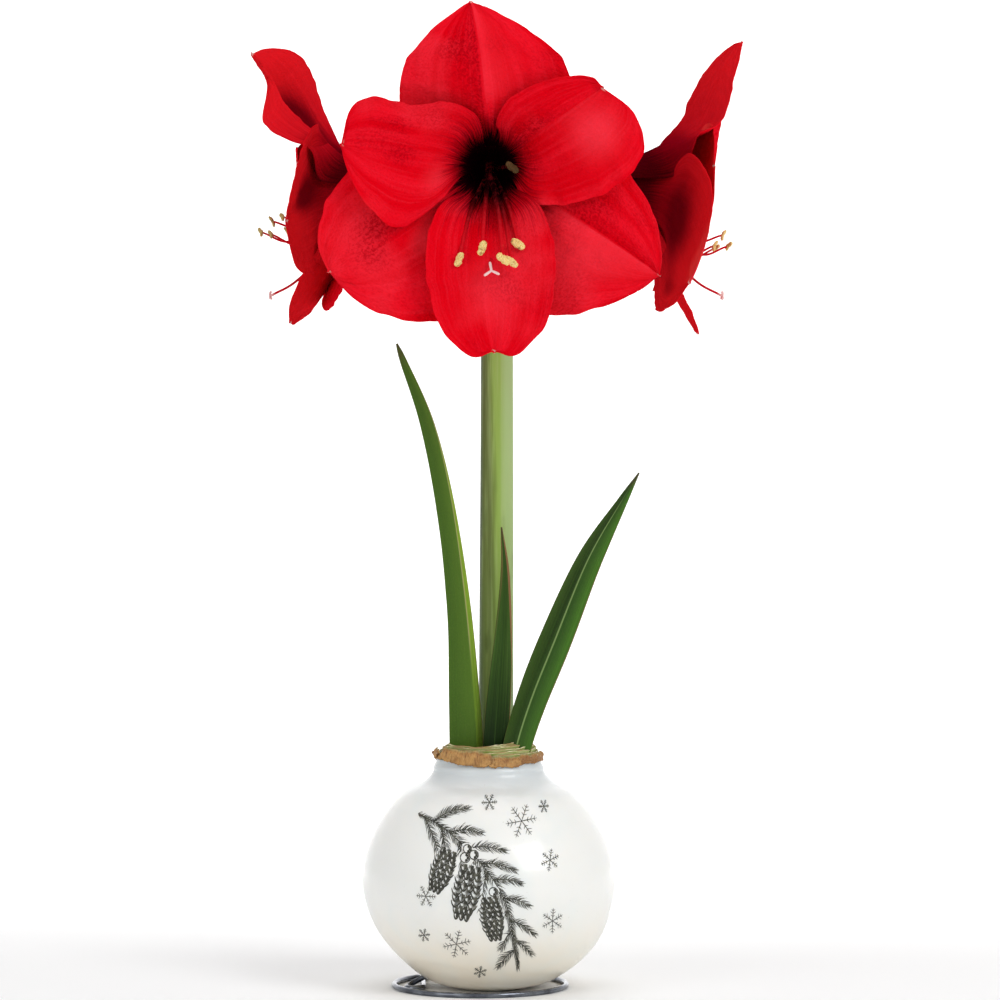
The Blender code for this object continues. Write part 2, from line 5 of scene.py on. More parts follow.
import bpy
import numpy as np
from mathutils import Matrix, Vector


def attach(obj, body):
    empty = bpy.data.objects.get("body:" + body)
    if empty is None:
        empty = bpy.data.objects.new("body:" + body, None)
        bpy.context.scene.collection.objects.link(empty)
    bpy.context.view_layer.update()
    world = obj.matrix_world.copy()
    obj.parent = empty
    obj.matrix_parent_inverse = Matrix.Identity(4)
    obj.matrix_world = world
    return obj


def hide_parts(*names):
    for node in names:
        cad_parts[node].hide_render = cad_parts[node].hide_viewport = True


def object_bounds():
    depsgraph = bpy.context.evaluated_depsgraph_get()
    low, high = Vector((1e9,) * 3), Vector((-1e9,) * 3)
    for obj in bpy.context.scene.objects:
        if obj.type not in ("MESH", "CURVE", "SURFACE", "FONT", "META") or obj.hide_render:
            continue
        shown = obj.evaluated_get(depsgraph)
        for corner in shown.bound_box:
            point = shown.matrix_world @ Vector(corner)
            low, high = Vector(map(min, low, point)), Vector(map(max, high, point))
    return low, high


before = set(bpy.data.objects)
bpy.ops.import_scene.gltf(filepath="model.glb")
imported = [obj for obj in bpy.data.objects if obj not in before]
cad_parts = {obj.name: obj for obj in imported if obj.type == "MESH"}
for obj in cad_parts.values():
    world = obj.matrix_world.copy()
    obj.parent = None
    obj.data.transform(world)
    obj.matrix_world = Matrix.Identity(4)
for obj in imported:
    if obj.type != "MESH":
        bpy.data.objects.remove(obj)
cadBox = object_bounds()


# Small helpers that every piece uses

def ease(value, low, high):  # 0 below low, 1 above high, smooth between
    share = np.clip((np.asarray(value, float) - low) / (high - low), 0.0, 1.0)
    return share * share * (3.0 - 2.0 * share)


def unit(vectors):
    return vectors / np.maximum(np.linalg.norm(vectors, axis=-1, keepdims=True), 1e-12)


def circle(count):  # even angles round a full turn
    return np.arange(count) * 2.0 * math.pi / count


def softNoise(x, y, seed=0):  # from -1 to 1: a scattered number at each whole corner, eased across the cells
    def corner(i, j):
        return np.modf(np.abs(np.sin(i * 127.1 + j * 311.7 + seed * 74.7)) * 43758.5453)[0]
    i, j = np.floor(x), np.floor(y)
    s, t = ease(x - i, 0, 1), ease(y - j, 0, 1)
    low = corner(i, j) * (1 - s) + corner(i + 1, j) * s
    high = corner(i, j + 1) * (1 - s) + corner(i + 1, j + 1) * s
    return 2.0 * (low * (1 - t) + high * t) - 1.0


def smoothCurve(points, count, crowd=1.0):  # Catmull-Rom curve, sampled by length; crowd > 1 packs its end
    given = np.array(points, float)
    ends = np.vstack([2 * given[0] - given[1], given, 2 * given[-1] - given[-2]])
    share = np.linspace(0.0, 1.0, 24, endpoint=False)[:, None]
    spans = [0.5 * (2 * b + (c - a) * share + (2 * a - 5 * b + 4 * c - d) * share ** 2
                    + (3 * b - a - 3 * c + d) * share ** 3)
             for a, b, c, d in zip(ends[:-3], ends[1:-2], ends[2:-1], ends[3:])]
    dense = np.vstack(spans + [given[-1:]])
    walked = np.concatenate([[0.0], np.cumsum(np.linalg.norm(np.diff(dense, axis=0), axis=1))])
    stops = walked[-1] * (1.0 - (1.0 - np.linspace(0.0, 1.0, count)) ** crowd)
    return np.stack([np.interp(stops, walked, dense[:, k]) for k in range(dense.shape[1])], axis=1)


# A shape is a dictionary: points, faces (lists of corner arrays), uv, and three numbers for each point:
# side (which face of a blade, or how near a cut edge), lot (which repeat it is), shade (above 0 is darker)
def shapeOf(points, faces, uv=None, side=None):
    count = len(points)
    return {"points": points, "faces": faces, "uv": np.zeros((count, 2)) if uv is None else uv,
            "side": np.zeros(count) if side is None else side, "lot": np.zeros(count),
            "shade": np.zeros(count)}


def joined(shapes):  # several shapes in one, their corner numbers shifted
    starts = np.cumsum([0] + [len(s["points"]) for s in shapes])
    faces = [f + start for s, start in zip(shapes, starts) for f in s["faces"]]
    keys = ("points", "uv", "side", "lot", "shade")
    return {**{key: np.concatenate([s[key] for s in shapes]) for key in keys}, "faces": faces}


def placed(shape, foot, axes):  # rows of axes are the directions of the shape's own x, y and z
    return {**shape, "points": shape["points"] @ axes + np.array(foot)}


def numbered(*counts):
    return np.arange(math.prod(counts)).reshape(counts)


def axesAlong(outward):  # right, up and outward of one who looks back along a direction
    outward = unit(np.array(outward))
    right = unit(np.cross([0.0, 0.0, 1.0], outward))
    return np.stack([right, np.cross(outward, right), outward])


def gridQuads(number):
    corners = [number[:-1, :-1], number[:-1, 1:], number[1:, 1:], number[1:, :-1]]
    return np.stack(corners, axis=-1).reshape(-1, 4)


def gridShape(points, uv=None):  # rows of points that close round the columns, with a cap at each end
    rows, columns = points.shape[:2]
    number = numbered(rows, columns)
    a, b = number, np.roll(number, -1, axis=1)
    quads = np.stack([a[:-1], b[:-1], b[1:], a[1:]], axis=-1).reshape(-1, 4)
    poles = rows * columns
    caps = np.concatenate([np.stack([b[0], a[0], np.full(columns, poles)], axis=1),
                           np.stack([a[-1], b[-1], np.full(columns, poles + 1)], axis=1)])

    def withPoles(rings):
        flat = rings.reshape(-1, rings.shape[-1])
        return np.concatenate([flat, rings[:1].mean(axis=1), rings[-1:].mean(axis=1)])
    return shapeOf(withPoles(points), [quads, caps], None if uv is None else withPoles(uv))


def barShape(path, radii, sides, guide=(0.0, 0.0, 1.0)):  # rings of the given radii, square to a path
    path = np.asarray(path, float)
    along = unit(np.gradient(path, axis=0))
    aside = unit(np.cross(along, np.array(guide)))
    above = np.cross(aside, along)
    angle = circle(sides)
    radii = np.asarray(radii, float)
    radii = radii if radii.ndim == 2 else np.broadcast_to(radii.reshape(-1, 1), (len(path), sides))
    ring = np.cos(angle)[:, None] * aside[:, None, :] - np.sin(angle)[:, None] * above[:, None, :]
    points = path[:, None, :] + ring * radii[..., None]
    length = np.linspace(0.0, 1.0, len(path))
    uv = np.stack(np.broadcast_arrays(length[:, None], (angle / (2 * math.pi))[None, :]), axis=-1)
    return gridShape(points, uv)


def bladeShape(middle, wall, uv):  # a thin closed solid: the grid moved half a wall each way along its normal
    rows, columns = middle.shape[:2]
    normal = unit(np.cross(np.gradient(middle, axis=0), np.gradient(middle, axis=1)))
    offset = normal * (wall[..., None] / 2.0)
    number = numbered(rows, columns)
    under = rows * columns
    back = gridQuads(number)
    front = back[:, [0, 3, 2, 1]]
    rim = np.concatenate([number[0, :-1], number[:-1, -1], number[-1, :0:-1], number[:0:-1, 0]])
    nextRim = np.roll(rim, -1)
    edge = np.stack([rim, nextRim, nextRim + under, rim + under], axis=1)
    points = np.concatenate([(middle + offset).reshape(-1, 3), (middle - offset).reshape(-1, 3)])
    side = np.repeat([0.0, 1.0], rows * columns)
    return shapeOf(points, [front, back + under, edge], np.tile(uv.reshape(-1, 2), (2, 1)), side)


def makePiece(name, shape, material, replaced=(), sharp=50):
    corners = np.concatenate([f.ravel() for f in shape["faces"]])
    totals = np.concatenate([np.full(len(f), f.shape[1]) for f in shape["faces"]])
    mesh = bpy.data.meshes.new(name)
    mesh.vertices.add(len(shape["points"]))
    mesh.vertices.foreach_set("co", shape["points"].astype(np.float32).ravel())
    mesh.loops.add(len(corners))
    mesh.loops.foreach_set("vertex_index", corners.astype(np.int32))
    mesh.polygons.add(len(totals))
    mesh.polygons.foreach_set("loop_start", (np.cumsum(totals) - totals).astype(np.int32))
    mesh.update(calc_edges=True)
    layer = mesh.uv_layers.new(name="surface")
    layer.data.foreach_set("uv", shape["uv"][corners].astype(np.float32).ravel())
    for key in ("side", "lot", "shade"):
        mesh.attributes.new(key, "FLOAT", "POINT").data.foreach_set("value", shape[key].astype(np.float32))
    mesh.validate()
    mesh.shade_smooth()
    mesh.set_sharp_from_angle(angle=math.radians(sharp))
    mesh.materials.append(material)
    piece = bpy.data.objects.new(name, mesh)
    bpy.context.scene.collection.objects.link(piece)
    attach(piece, "root")
    if replaced:
        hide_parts(*replaced)
    print("made", name, len(totals), "faces")


class Finish:  # one material: its node tree, and short calls for the nodes that these finishes need
    def __init__(self, name, **sockets):
        self.material = bpy.data.materials.new(name)
        self.material.use_nodes = True
        self.tree = self.material.node_tree
        self.shader = self.tree.nodes["Principled BSDF"]
        self.set(**sockets)

    def set(self, **sockets):  # words of a socket's name are joined by underscores
        for name, value in sockets.items():
            self.plug(self.shader.inputs[name.replace("_", " ")], value)

    def plug(self, socket, value):
        if isinstance(value, bpy.types.NodeSocket):
            self.tree.links.new(value, socket)
        elif isinstance(value, (tuple, list)) and len(value) == 3 and socket.type == "RGBA":
            socket.default_value = (*value, 1.0)
        else:
            socket.default_value = value

    def add(self, kind, inputs=(), **settings):
        item = self.tree.nodes.new("ShaderNode" + kind)
        for name, value in settings.items():
            setattr(item, name, value)
        for key, value in dict(inputs).items():
            self.plug(item.inputs[key], value)
        return item

    def place(self, scale=(1.0, 1.0, 1.0), turn=(0.0, 0.0, 0.0), move=(0.0, 0.0, 0.0)):  # object coordinates
        item = self.add("Mapping", {"Scale": scale, "Rotation": turn, "Location": move})
        self.tree.links.new(self.add("TexCoord").outputs["Object"], item.inputs["Vector"])
        return item.outputs["Vector"]

    def uv(self, scale=(1.0, 1.0, 1.0)):
        item = self.add("Mapping", {"Scale": scale})
        self.tree.links.new(self.add("UVMap", uv_map="surface").outputs["UV"], item.inputs["Vector"])
        return item.outputs["Vector"]

    def axis(self, vector, which):
        return self.add("SeparateXYZ", {"Vector": vector}).outputs[which]

    def noise(self, vector, scale, detail=3.0, rough=0.5, twist=0.0):
        return self.add("TexNoise", {"Vector": vector, "Scale": scale, "Detail": detail, "Roughness": rough,
                                     "Distortion": twist}).outputs["Fac"]

    def band(self, value, low, high, start=0.0, end=1.0):
        return self.add("MapRange", {"Value": value, "From Min": low, "From Max": high, "To Min": start,
                                     "To Max": end}, interpolation_type="SMOOTHSTEP").outputs["Result"]

    def sum(self, kind, first, second=0.5):
        return self.add("Math", {0: first, 1: second}, operation=kind).outputs[0]

    def mix(self, share, first, second):
        return self.add("Mix", {"Factor": share, 6: first, 7: second}, data_type="RGBA").outputs[2]

    def layers(self, tone, sources, rows):  # rows of source, from, to, least and most cover, colour on top
        for source, low, high, least, most, colour in rows:
            tone = self.mix(self.band(sources[source], low, high, least, most), tone, colour)
        return tone

    def covered(self, tone, *coats):  # pairs of how much is covered, and the colour on top
        for share, colour in coats:
            tone = self.mix(share, tone, colour)
        return tone

    def product(self, *values):
        whole = values[0]
        for value in values[1:]:
            whole = self.sum("MULTIPLY", whole, value)
        return whole

    def mark(self, name):  # one of the numbers kept at each point
        return self.add("Attribute", attribute_name=name).outputs["Fac"]

    def grain(self, along, across):  # coordinates that follow a blade, moved on for each repeat
        surface = self.uv((along, across, 1.0))
        lot = self.product(self.mark("lot"), 7.3)
        return self.add("CombineXYZ", {0: self.axis(surface, 0), 1: self.axis(surface, 1), 2: lot}).outputs[0]

    def relief(self, height, distance, strength=1.0, under=None):
        inputs = {"Height": height, "Distance": distance, "Strength": strength}
        return self.add("Bump", inputs if under is None else {**inputs, "Normal": under}).outputs[0]


print("helpers ready, CAD box", cadBox)

# Camera, light and floor
studio = {
    "eye": (0.0046, -2.2, 0.285), "aim": (0.0046, 0.0, 0.1952), "lens": 198.8,
    "floorColour": (0.93, 0.93, 0.93), "world": 0.58,
    # name, place, what it points at, size, power
    "lights": [("key", (1.2, -1.2, 1.2), (0.0, 0.0, 0.2), 0.9, 14.0),
               ("fill", (-1.4, -1.5, 0.8), (0.0, 0.0, 0.2), 1.2, 7.0),
               ("top", (0.0, 0.2, 1.7), (0.0, 0.0, 0.2), 1.2, 6.0),
               ("wallLight", (0.0, 0.9, 1.3), (0.0, 2.8, 0.1), 1.6, 34.0)],
}


def lookAt(item, eye, aim):
    turn = np.eye(4)
    turn[:3, :3] = axesAlong(np.array(eye) - np.array(aim)).T
    turn[:3, 3] = eye
    item.matrix_world = Matrix(turn.tolist())


def makeStudio():
    camera = bpy.data.objects.new("camera", bpy.data.cameras.new("camera"))
    camera.data.lens, camera.data.sensor_width = studio["lens"], 36.0
    camera.data.clip_end = 20.0
    lookAt(camera, studio["eye"], studio["aim"])
    bpy.context.scene.collection.objects.link(camera)
    bpy.context.scene.camera = camera
    for name, spot, aim, size, power in studio["lights"]:
        lamp = bpy.data.lights.new(name, "AREA")
        lamp.size, lamp.energy = size, power
        item = bpy.data.objects.new(name, lamp)
        lookAt(item, spot, aim)
        bpy.context.scene.collection.objects.link(item)
    world = bpy.data.worlds.new("studio")
    world.use_nodes = True
    back = world.node_tree.nodes["Background"]
    back.inputs["Color"].default_value = (1.0, 1.0, 1.0, 1.0)
    back.inputs["Strength"].default_value = studio["world"]
    bpy.context.scene.world = world
    bpy.context.scene.view_settings.view_transform = "Standard"

    # floor that rises behind into a wall along a quarter circle
    bend = np.linspace(0.0, math.pi / 2, 24)
    depth = np.concatenate([[-4.0], 1.6 + 1.2 * np.sin(bend), [2.8]])
    height = np.concatenate([[0.0], 1.2 * (1.0 - np.cos(bend)), [4.0]])
    x = np.linspace(-5.0, 5.0, 5)
    points = np.stack(np.broadcast_arrays(x[None, :], depth[:, None], height[:, None]), axis=-1)
    mesh = bpy.data.meshes.new("floor")
    mesh.from_pydata(points.reshape(-1, 3), [], gridQuads(numbered(*points.shape[:2])))
    mesh.shade_smooth()
    paint = Finish("floorPaint", Base_Color=studio["floorColour"], Roughness=0.9)
    mesh.materials.append(paint.material)
    floor = bpy.data.objects.new("floor", mesh)
    bpy.context.scene.collection.objects.link(floor)


makeStudio()
print("studio ready")


# Wire ring stand: a bent rod that runs prong, eye, back run, ring
wire = {
    "radius": 0.0011, "ringRadius": 0.0344, "ringCentre": (-0.0033, 0.001), "ringStart": 124, "ringTurn": 348,
    "prong": [(-0.016, -0.0028, 0.01), (-0.0285, -0.0036, 0.0032)],
    "eye": [(-0.0306, -0.0043, 0.0021), (-0.0322, -0.0062, 0.0012), (-0.0322, -0.009, 0.0011),
            (-0.0303, -0.0108, 0.0011), (-0.0277, -0.0104, 0.0011), (-0.0263, -0.0082, 0.0011),
            (-0.026, -0.003, 0.0011), (-0.0262, 0.008, 0.0011), (-0.0266, 0.018, 0.0011)],
    "sides": 20, "steel": (0.2, 0.215, 0.245), "blotch": (0.07, 0.075, 0.095),
}


def makeWire():
    steel = Finish("darkSteel", Metallic=1.0)
    drawn = steel.noise(steel.place((60.0, 60.0, 900.0)), 6.0, 3.0)
    blotch = steel.noise(steel.place(), 160.0, 4.0)
    steel.set(Base_Color=steel.mix(steel.band(blotch, 0.35, 0.75), wire["steel"], wire["blotch"]),
              Roughness=steel.band(drawn, 0.3, 0.8, 0.1, 0.28), Normal=steel.relief(drawn, 0.00003, 0.4))
    turn = np.radians(np.linspace(wire["ringStart"], wire["ringStart"] - wire["ringTurn"], 150))
    x, y = wire["ringCentre"]
    ring = np.stack([x + wire["ringRadius"] * np.cos(turn), y + wire["ringRadius"] * np.sin(turn),
                     np.full(len(turn), wire["radius"])], axis=1)
    prong = np.array(wire["prong"])
    hook = smoothCurve([prong[1]] + wire["eye"] + [ring[0]], 110)
    path = np.vstack([prong[0] + (prong[1] - prong[0]) * np.linspace(0, 1, 14, endpoint=False)[:, None],
                      hook[:-1], ring])
    radii = np.full(len(path), wire["radius"])
    radii[[0, -1]] *= 0.75  # the cut ends are slightly dressed
    makePiece("wireRing", barShape(path, radii, wire["sides"]), steel.material, ["wire_stand"])


makeWire()


# Wax coat: a turned shell, its outer face the CAD outline with soft dips from the dipping
wax = {
    "outline": [(0.009, 0.0), (0.015, 0.0006), (0.0262, 0.0042), (0.0384, 0.0138), (0.0468, 0.0262),
                (0.0508, 0.043), (0.048, 0.0572), (0.0402, 0.0712), (0.0336, 0.0786), (0.0262, 0.0826),
                (0.023, 0.086), (0.0214, 0.09), (0.021, 0.0918)],
    "wall": 0.0028, "lip": 0.0014, "top": 0.0918, "lean": 0.0014, "rows": 120, "sides": 200, "dips": 0.00022,
    "bead": 0.00045, "beadLevel": 0.0886, "foot": (0.84, 0.76, 0.62), "body": (0.88, 0.88, 0.84),
    # colours laid on in turn: what each follows, from, to, least and most cover, colour
    "layers": [("cloud", 0.45, 0.75, 0.0, 0.3, (0.72, 0.82, 0.82)),
               ("height", 0.074, 0.088, 0.0, 0.75, (0.56, 0.61, 0.63)),
               ("speck", 0.72, 0.8, 0.0, 0.5, (0.55, 0.52, 0.44))],
}


def onRound(radius, angle, height):  # the lowest part is shifted a little to the right, as the bulb sits
    shift = wax["lean"] * np.exp(-((height - 0.013) / 0.014) ** 2)
    return np.stack([radius * np.cos(angle) + shift, radius * np.sin(angle), height], axis=-1)


def turnedPoints(radius, height):  # rings, each with its even steps round the axis
    radius, height = np.broadcast_arrays(radius, height)
    return onRound(radius, circle(radius.shape[1]), height)


def waxProfiles(rows):  # outer and inner face as radius and height
    outer = smoothCurve(wax["outline"], rows, 1.3)
    along = unit(np.gradient(outer, axis=0))
    wall = wax["wall"] + (wax["lip"] - wax["wall"]) * ease(outer[:, 1], 0.07, wax["top"])
    inner = outer + np.stack([-along[:, 1], along[:, 0]], axis=1) * wall[:, None]
    inner[-1, 1] = wax["top"]
    return outer, inner


def waxRelief(level, turn):  # soft dips from the dipping, and a bead under the lip
    free = ease(level, 0.003, 0.02) * (1.0 - 0.3 * ease(level, 0.08, 0.09))
    x, y = np.cos(turn), np.sin(turn)
    dips = softNoise(level * 60 + 3, 3.0 * x + 7, 1) + softNoise(level * 60 + 9, 3.0 * y + 5, 2)
    bead = np.exp(-((level - wax["beadLevel"]) / 0.0011) ** 2) * (1.0 + 0.6 * softNoise(2.5 * x, 2.5 * y, 4))
    return wax["dips"] * free * dips + wax["bead"] * bead - 0.0001


def makeWax():
    coat = Finish("waxCoat", Roughness=0.34, IOR=1.44, Coat_Weight=0.4, Coat_Roughness=0.1,
                  Subsurface_Weight=0.35, Subsurface_Radius=(1.0, 0.9, 0.75), Subsurface_Scale=0.004)
    height = coat.axis(coat.place(), 2)
    sources = {"height": height, "cloud": coat.noise(coat.place(), 34.0, 3.0, 0.5, 0.6),
               "speck": coat.noise(coat.place(), 900.0, 2.0)}
    tone = coat.mix(coat.band(height, 0.004, 0.04), wax["foot"], wax["body"])
    coat.set(Base_Color=coat.layers(tone, sources, wax["layers"]),
             Normal=coat.relief(coat.noise(coat.place(), 260.0, 4.0), 0.00006, 0.5))

    outer, inner = waxProfiles(wax["rows"])
    level, turn = outer[:, 1][:, None], circle(wax["sides"])[None, :]
    outside = turnedPoints(outer[:, 0][:, None] + waxRelief(level, turn), level + 0 * turn)
    inside = turnedPoints(inner[::-1, 0][:, None] + 0 * turn, inner[::-1, 1][:, None] + 0 * turn)
    arc = np.linspace(0.0, math.pi, 8)[1:-1]
    middle, half = (outer[-1, 0] + inner[-1, 0]) / 2, (outer[-1, 0] - inner[-1, 0]) / 2
    lip = turnedPoints((middle + half * np.cos(arc))[:, None] + 0 * turn,
                       (wax["top"] + 0.5 * half * np.sin(arc))[:, None] + 0 * turn)
    shape = gridShape(np.concatenate([outside, lip, inside]))
    makePiece("waxShell", shape, coat.material, ["wax_coat"])


makeWax()


# Print: a generic spray of fir twigs with cones and snowflakes, in fine raised strokes of ink. It is drawn
# flat, in millimetres from the middle of the front, and laid on the wax by arc length and height.
ink = {
    "middle": (-0.6, 45.6), "bough": [(-30, 27), (-17, 22), (-2, 9), (8, -8), (11, -33)], "twigs": 17,
    "twigLength": (17.0, 8.0), "needle": 3.6, "step": 0.46, "proud": 0.0001,
    # cones: x, y of the stalk end, width, length, lean in degrees
    "cones": [(-6.0, 8.0, 11.0, 21.0, -12), (-15.0, 14.0, 9.5, 17.0, -22), (1.0, -4.0, 9.0, 17.0, 6)],
    # flakes: x, y, radius, turn in degrees
    "flakes": [(14, 25, 6.6, 8), (26, 10, 4.4, 20), (-25, -4, 4.6, 0), (-13, -23, 6.2, 14), (1, 32, 3.2, 3),
               (27, -14, 5.2, 25), (-27, -20, 3.0, 10), (24, 30, 2.6, 0), (-4, -35, 2.8, 22)],
    "berries": [(-8.5, 11.5, 1.9), (-5.0, 12.6, 1.7), (-7.6, 14.8, 1.6), (2.6, -1.6, 1.7)],
    "fresh": (0.03, 0.03, 0.02), "worn": (0.12, 0.12, 0.09),
}
inkTurns = np.random.default_rng(7)


def turned(vectors, angle):
    c, s, x, y = np.cos(angle), np.sin(angle), vectors[..., 0], vectors[..., 1]
    return np.stack([c * x - s * y, s * x + c * y], axis=-1)


def strokes(start, bend, end, half, taper):  # parabolas over three points each: 7 points and half widths
    t = np.linspace(0.0, 1.0, 7)[None, :, None]
    start, bend, end = (np.atleast_2d(np.asarray(p, float))[:, None, :] for p in (start, bend, end))
    lines = (1 - t) ** 2 * start + 2 * t * (1 - t) * bend + t * t * end
    shape = np.maximum(1.0 - taper * np.linspace(0.0, 1.0, 7) ** 1.5, 0.12)
    shape = shape * np.array([0.5, 1, 1, 1, 1, 1, 0.6])
    return lines, np.broadcast_to(np.asarray(half, float).reshape(-1, 1), (len(lines), 1)) * shape[None, :]


def shifted(parts, x, y):
    return [(lines + np.array([x, y]), half) for lines, half in parts]


def needlesOn(path):  # needles on both sides of a twig, leaning forward, and the twig itself in short strokes
    reach = np.linalg.norm(np.diff(np.array(path), axis=0), axis=1).sum()
    even = smoothCurve(path, max(6, int(reach / ink["step"])))
    along = unit(np.gradient(even, axis=0))
    share = np.linspace(0.0, 1.0, len(even))
    parts = []
    for way in (1.0, -1.0):
        lean = way * inkTurns.uniform(0.55, 0.95, len(even)) * (1.0 - 0.55 * share ** 4)
        size = ink["needle"] * inkTurns.uniform(0.75, 1.1, len(even)) * (0.55 + 0.45 * ease(share, 0.0, 0.3))
        size = (size * (1.0 - 0.35 * share ** 3))[:, None]
        start = even + inkTurns.normal(0.0, 0.08, even.shape)
        bend, tip = start + turned(along, lean * 1.3) * size * 0.5, start + turned(along, lean * 0.85) * size
        parts.append(strokes(start, bend, tip, inkTurns.uniform(0.1, 0.19, len(even)), 0.85))
    parts.append(strokes(even[:-1], (even[:-1] + even[1:]) / 2, even[1:], 0.3 - 0.16 * share[:-1], 0.1))
    return parts


def coneStrokes(x, y, width, length, lean):  # rows of scales: an arc for each lip, and hatching under it
    parts = []
    rows = 9
    for row in range(rows):
        share = (row + 0.6) / rows
        reach = width / 2 * math.sin(math.pi * (0.12 + 0.8 * share)) ** 0.6
        count = 4 if row % 2 else 3
        middle = np.stack([np.linspace(-1, 1, count) * reach * 0.72, np.full(count, -length * share)], axis=1)
        half = reach / count * 1.15
        drop = length / rows * 1.15
        left, right = middle + [-half, 0.35 * drop], middle + [half, 0.35 * drop]
        tip = middle + np.array([0.0, -1.5 * drop])
        parts.append(strokes(left, tip, right, 0.26, 0.0))
        parts.append(strokes(left + [0, 0.3], tip + [0, 0.5], right + [0, 0.3], 0.12, 0.0))
        for k in np.linspace(-0.75, 0.75, 8):
            top = middle + [k * half * 0.75, 0.75 * drop]
            foot = middle + [k * half, (0.62 * k * k - 0.52) * drop]
            parts.append(strokes(top, (top + foot) / 2, top + (foot - top) * (0.45 + 0.45 * (k > -0.2)),
                                 0.1 + 0.08 * (k > 0.1), 0.5))
    return shifted([(turned(lines, math.radians(lean)), half) for lines, half in parts], x, y)


def flakeStrokes(x, y, radius, turn):  # six arms with three pairs of barbs each
    arms = turned(np.array([1.0, 0.0]), np.radians(turn + 60.0 * np.arange(6)))
    parts = [strokes(0 * arms, arms * radius / 2, arms * radius, 0.17, 0.4)]
    for share, size in ((0.35, 0.2), (0.58, 0.3), (0.8, 0.18)):
        for way in (1.0, -1.0):
            start = arms * radius * share
            end = start + turned(arms, way * 1.0) * radius * size
            parts.append(strokes(start, (start + end) / 2, end, 0.14, 0.5))
    return shifted(parts, x, y)


def berryStrokes(x, y, radius):  # a ring, and shorter arcs inside its right half
    angle = np.radians(np.arange(0, 360, 45))
    ring = np.stack([np.cos(angle), np.sin(angle)], axis=1) * radius
    after = turned(ring, math.radians(45))
    parts = [strokes(ring, (ring + after) / 2 * 1.17, after, 0.22, 0.0)]
    for share in (0.8, 0.62, 0.44):
        sweep = np.radians([-95.0, -35.0, 25.0])
        start, end = (np.stack([np.cos(a), np.sin(a)], axis=1) * radius * share
                      for a in (sweep, sweep + 1.05))
        parts.append(strokes(start, (start + end) / 2 * 1.16, end, 0.17, 0.1))
    return shifted(parts, x, y)


def onWax(flat):  # millimetres across and up from the middle of the print -> points on the wax
    level = (flat[..., 1] + ink["middle"][1]) / 1000.0
    outer, _ = waxProfiles(wax["rows"])
    radius = np.interp(level, outer[:, 1], outer[:, 0])
    turn = (flat[..., 0] + ink["middle"][0]) / 1000.0 / radius - math.pi / 2
    return onRound(radius + waxRelief(level, turn), turn, level)


def makePrint():
    bough = smoothCurve(ink["bough"], 60)
    along = unit(np.gradient(bough, axis=0))
    parts = needlesOn(bough)
    for number in range(ink["twigs"]):
        share = 0.06 + 0.9 * number / ink["twigs"]
        at = int(share * 59)
        way = 1.0 if number % 2 else -1.0
        size = ink["twigLength"][0] + (ink["twigLength"][1] - ink["twigLength"][0]) * share
        size *= inkTurns.uniform(0.85, 1.1)
        out = turned(along[at], way * inkTurns.uniform(0.7, 0.95))
        tip = bough[at] + out * size + [0.0, -0.1 * size]
        parts += needlesOn([bough[at], bough[at] + out * size * 0.5 + [0.0, 0.4], tip])
    lines, half = (np.concatenate(column) for column in zip(*parts))
    clear = np.ones(len(lines), bool)  # twigs stop where a cone lies over them
    for x, y, width, length, lean in ink["cones"]:
        local = turned(lines[:, 3] - np.array([x, y]), -math.radians(lean)) + np.array([0.0, length * 0.52])
        clear &= (local[:, 0] / (width * 0.6)) ** 2 + (local[:, 1] / (length * 0.57)) ** 2 > 1.0
    for x, y, radius in ink["berries"]:
        clear &= np.hypot(lines[:, 3, 0] - x, lines[:, 3, 1] - y) > radius * 1.5
    parts = [(lines[clear], half[clear])]
    for x, y, width, length, lean in ink["cones"]:
        parts += coneStrokes(x, y, width, length, lean)
    for flake in ink["flakes"]:
        parts += flakeStrokes(*flake)
    for berry in ink["berries"]:
        parts += berryStrokes(*berry)
    lines, half = (np.concatenate(column) for column in zip(*parts))

    # each stroke is a closed sliver with four edges: left, top, right and a foot sunk in the wax
    along = unit(np.gradient(lines, axis=1))
    across = np.stack([-along[..., 1], along[..., 0]], axis=-1)
    across = across * half[..., None]
    middle = onWax(lines)
    outward = unit(np.cross(onWax(lines + [0.05, 0.0]) - middle, onWax(lines + [0.0, 0.05]) - middle))
    proud = outward * ink["proud"]
    rings = np.stack([onWax(lines + across) + proud * 0.3, middle - proud,
                      onWax(lines - across) + proud * 0.3, middle + proud], axis=2)
    number = numbered(*rings.shape[:3])
    after = np.roll(number, -1, axis=2)
    sides = np.stack([number[:, :-1], after[:, :-1], after[:, 1:], number[:, 1:]], axis=-1).reshape(-1, 4)
    ends = np.concatenate([number[:, 0, ::-1], number[:, -1]])
    black = Finish("printInk", Roughness=0.5)
    worn = black.noise(black.place(), 500.0, 3.0)
    black.set(Base_Color=black.mix(black.band(worn, 0.4, 0.75), ink["fresh"], ink["worn"]))
    makePiece("frontPrint", shapeOf(rings.reshape(-1, 3), [sides, ends]), black.material, (), 180)


makePrint()


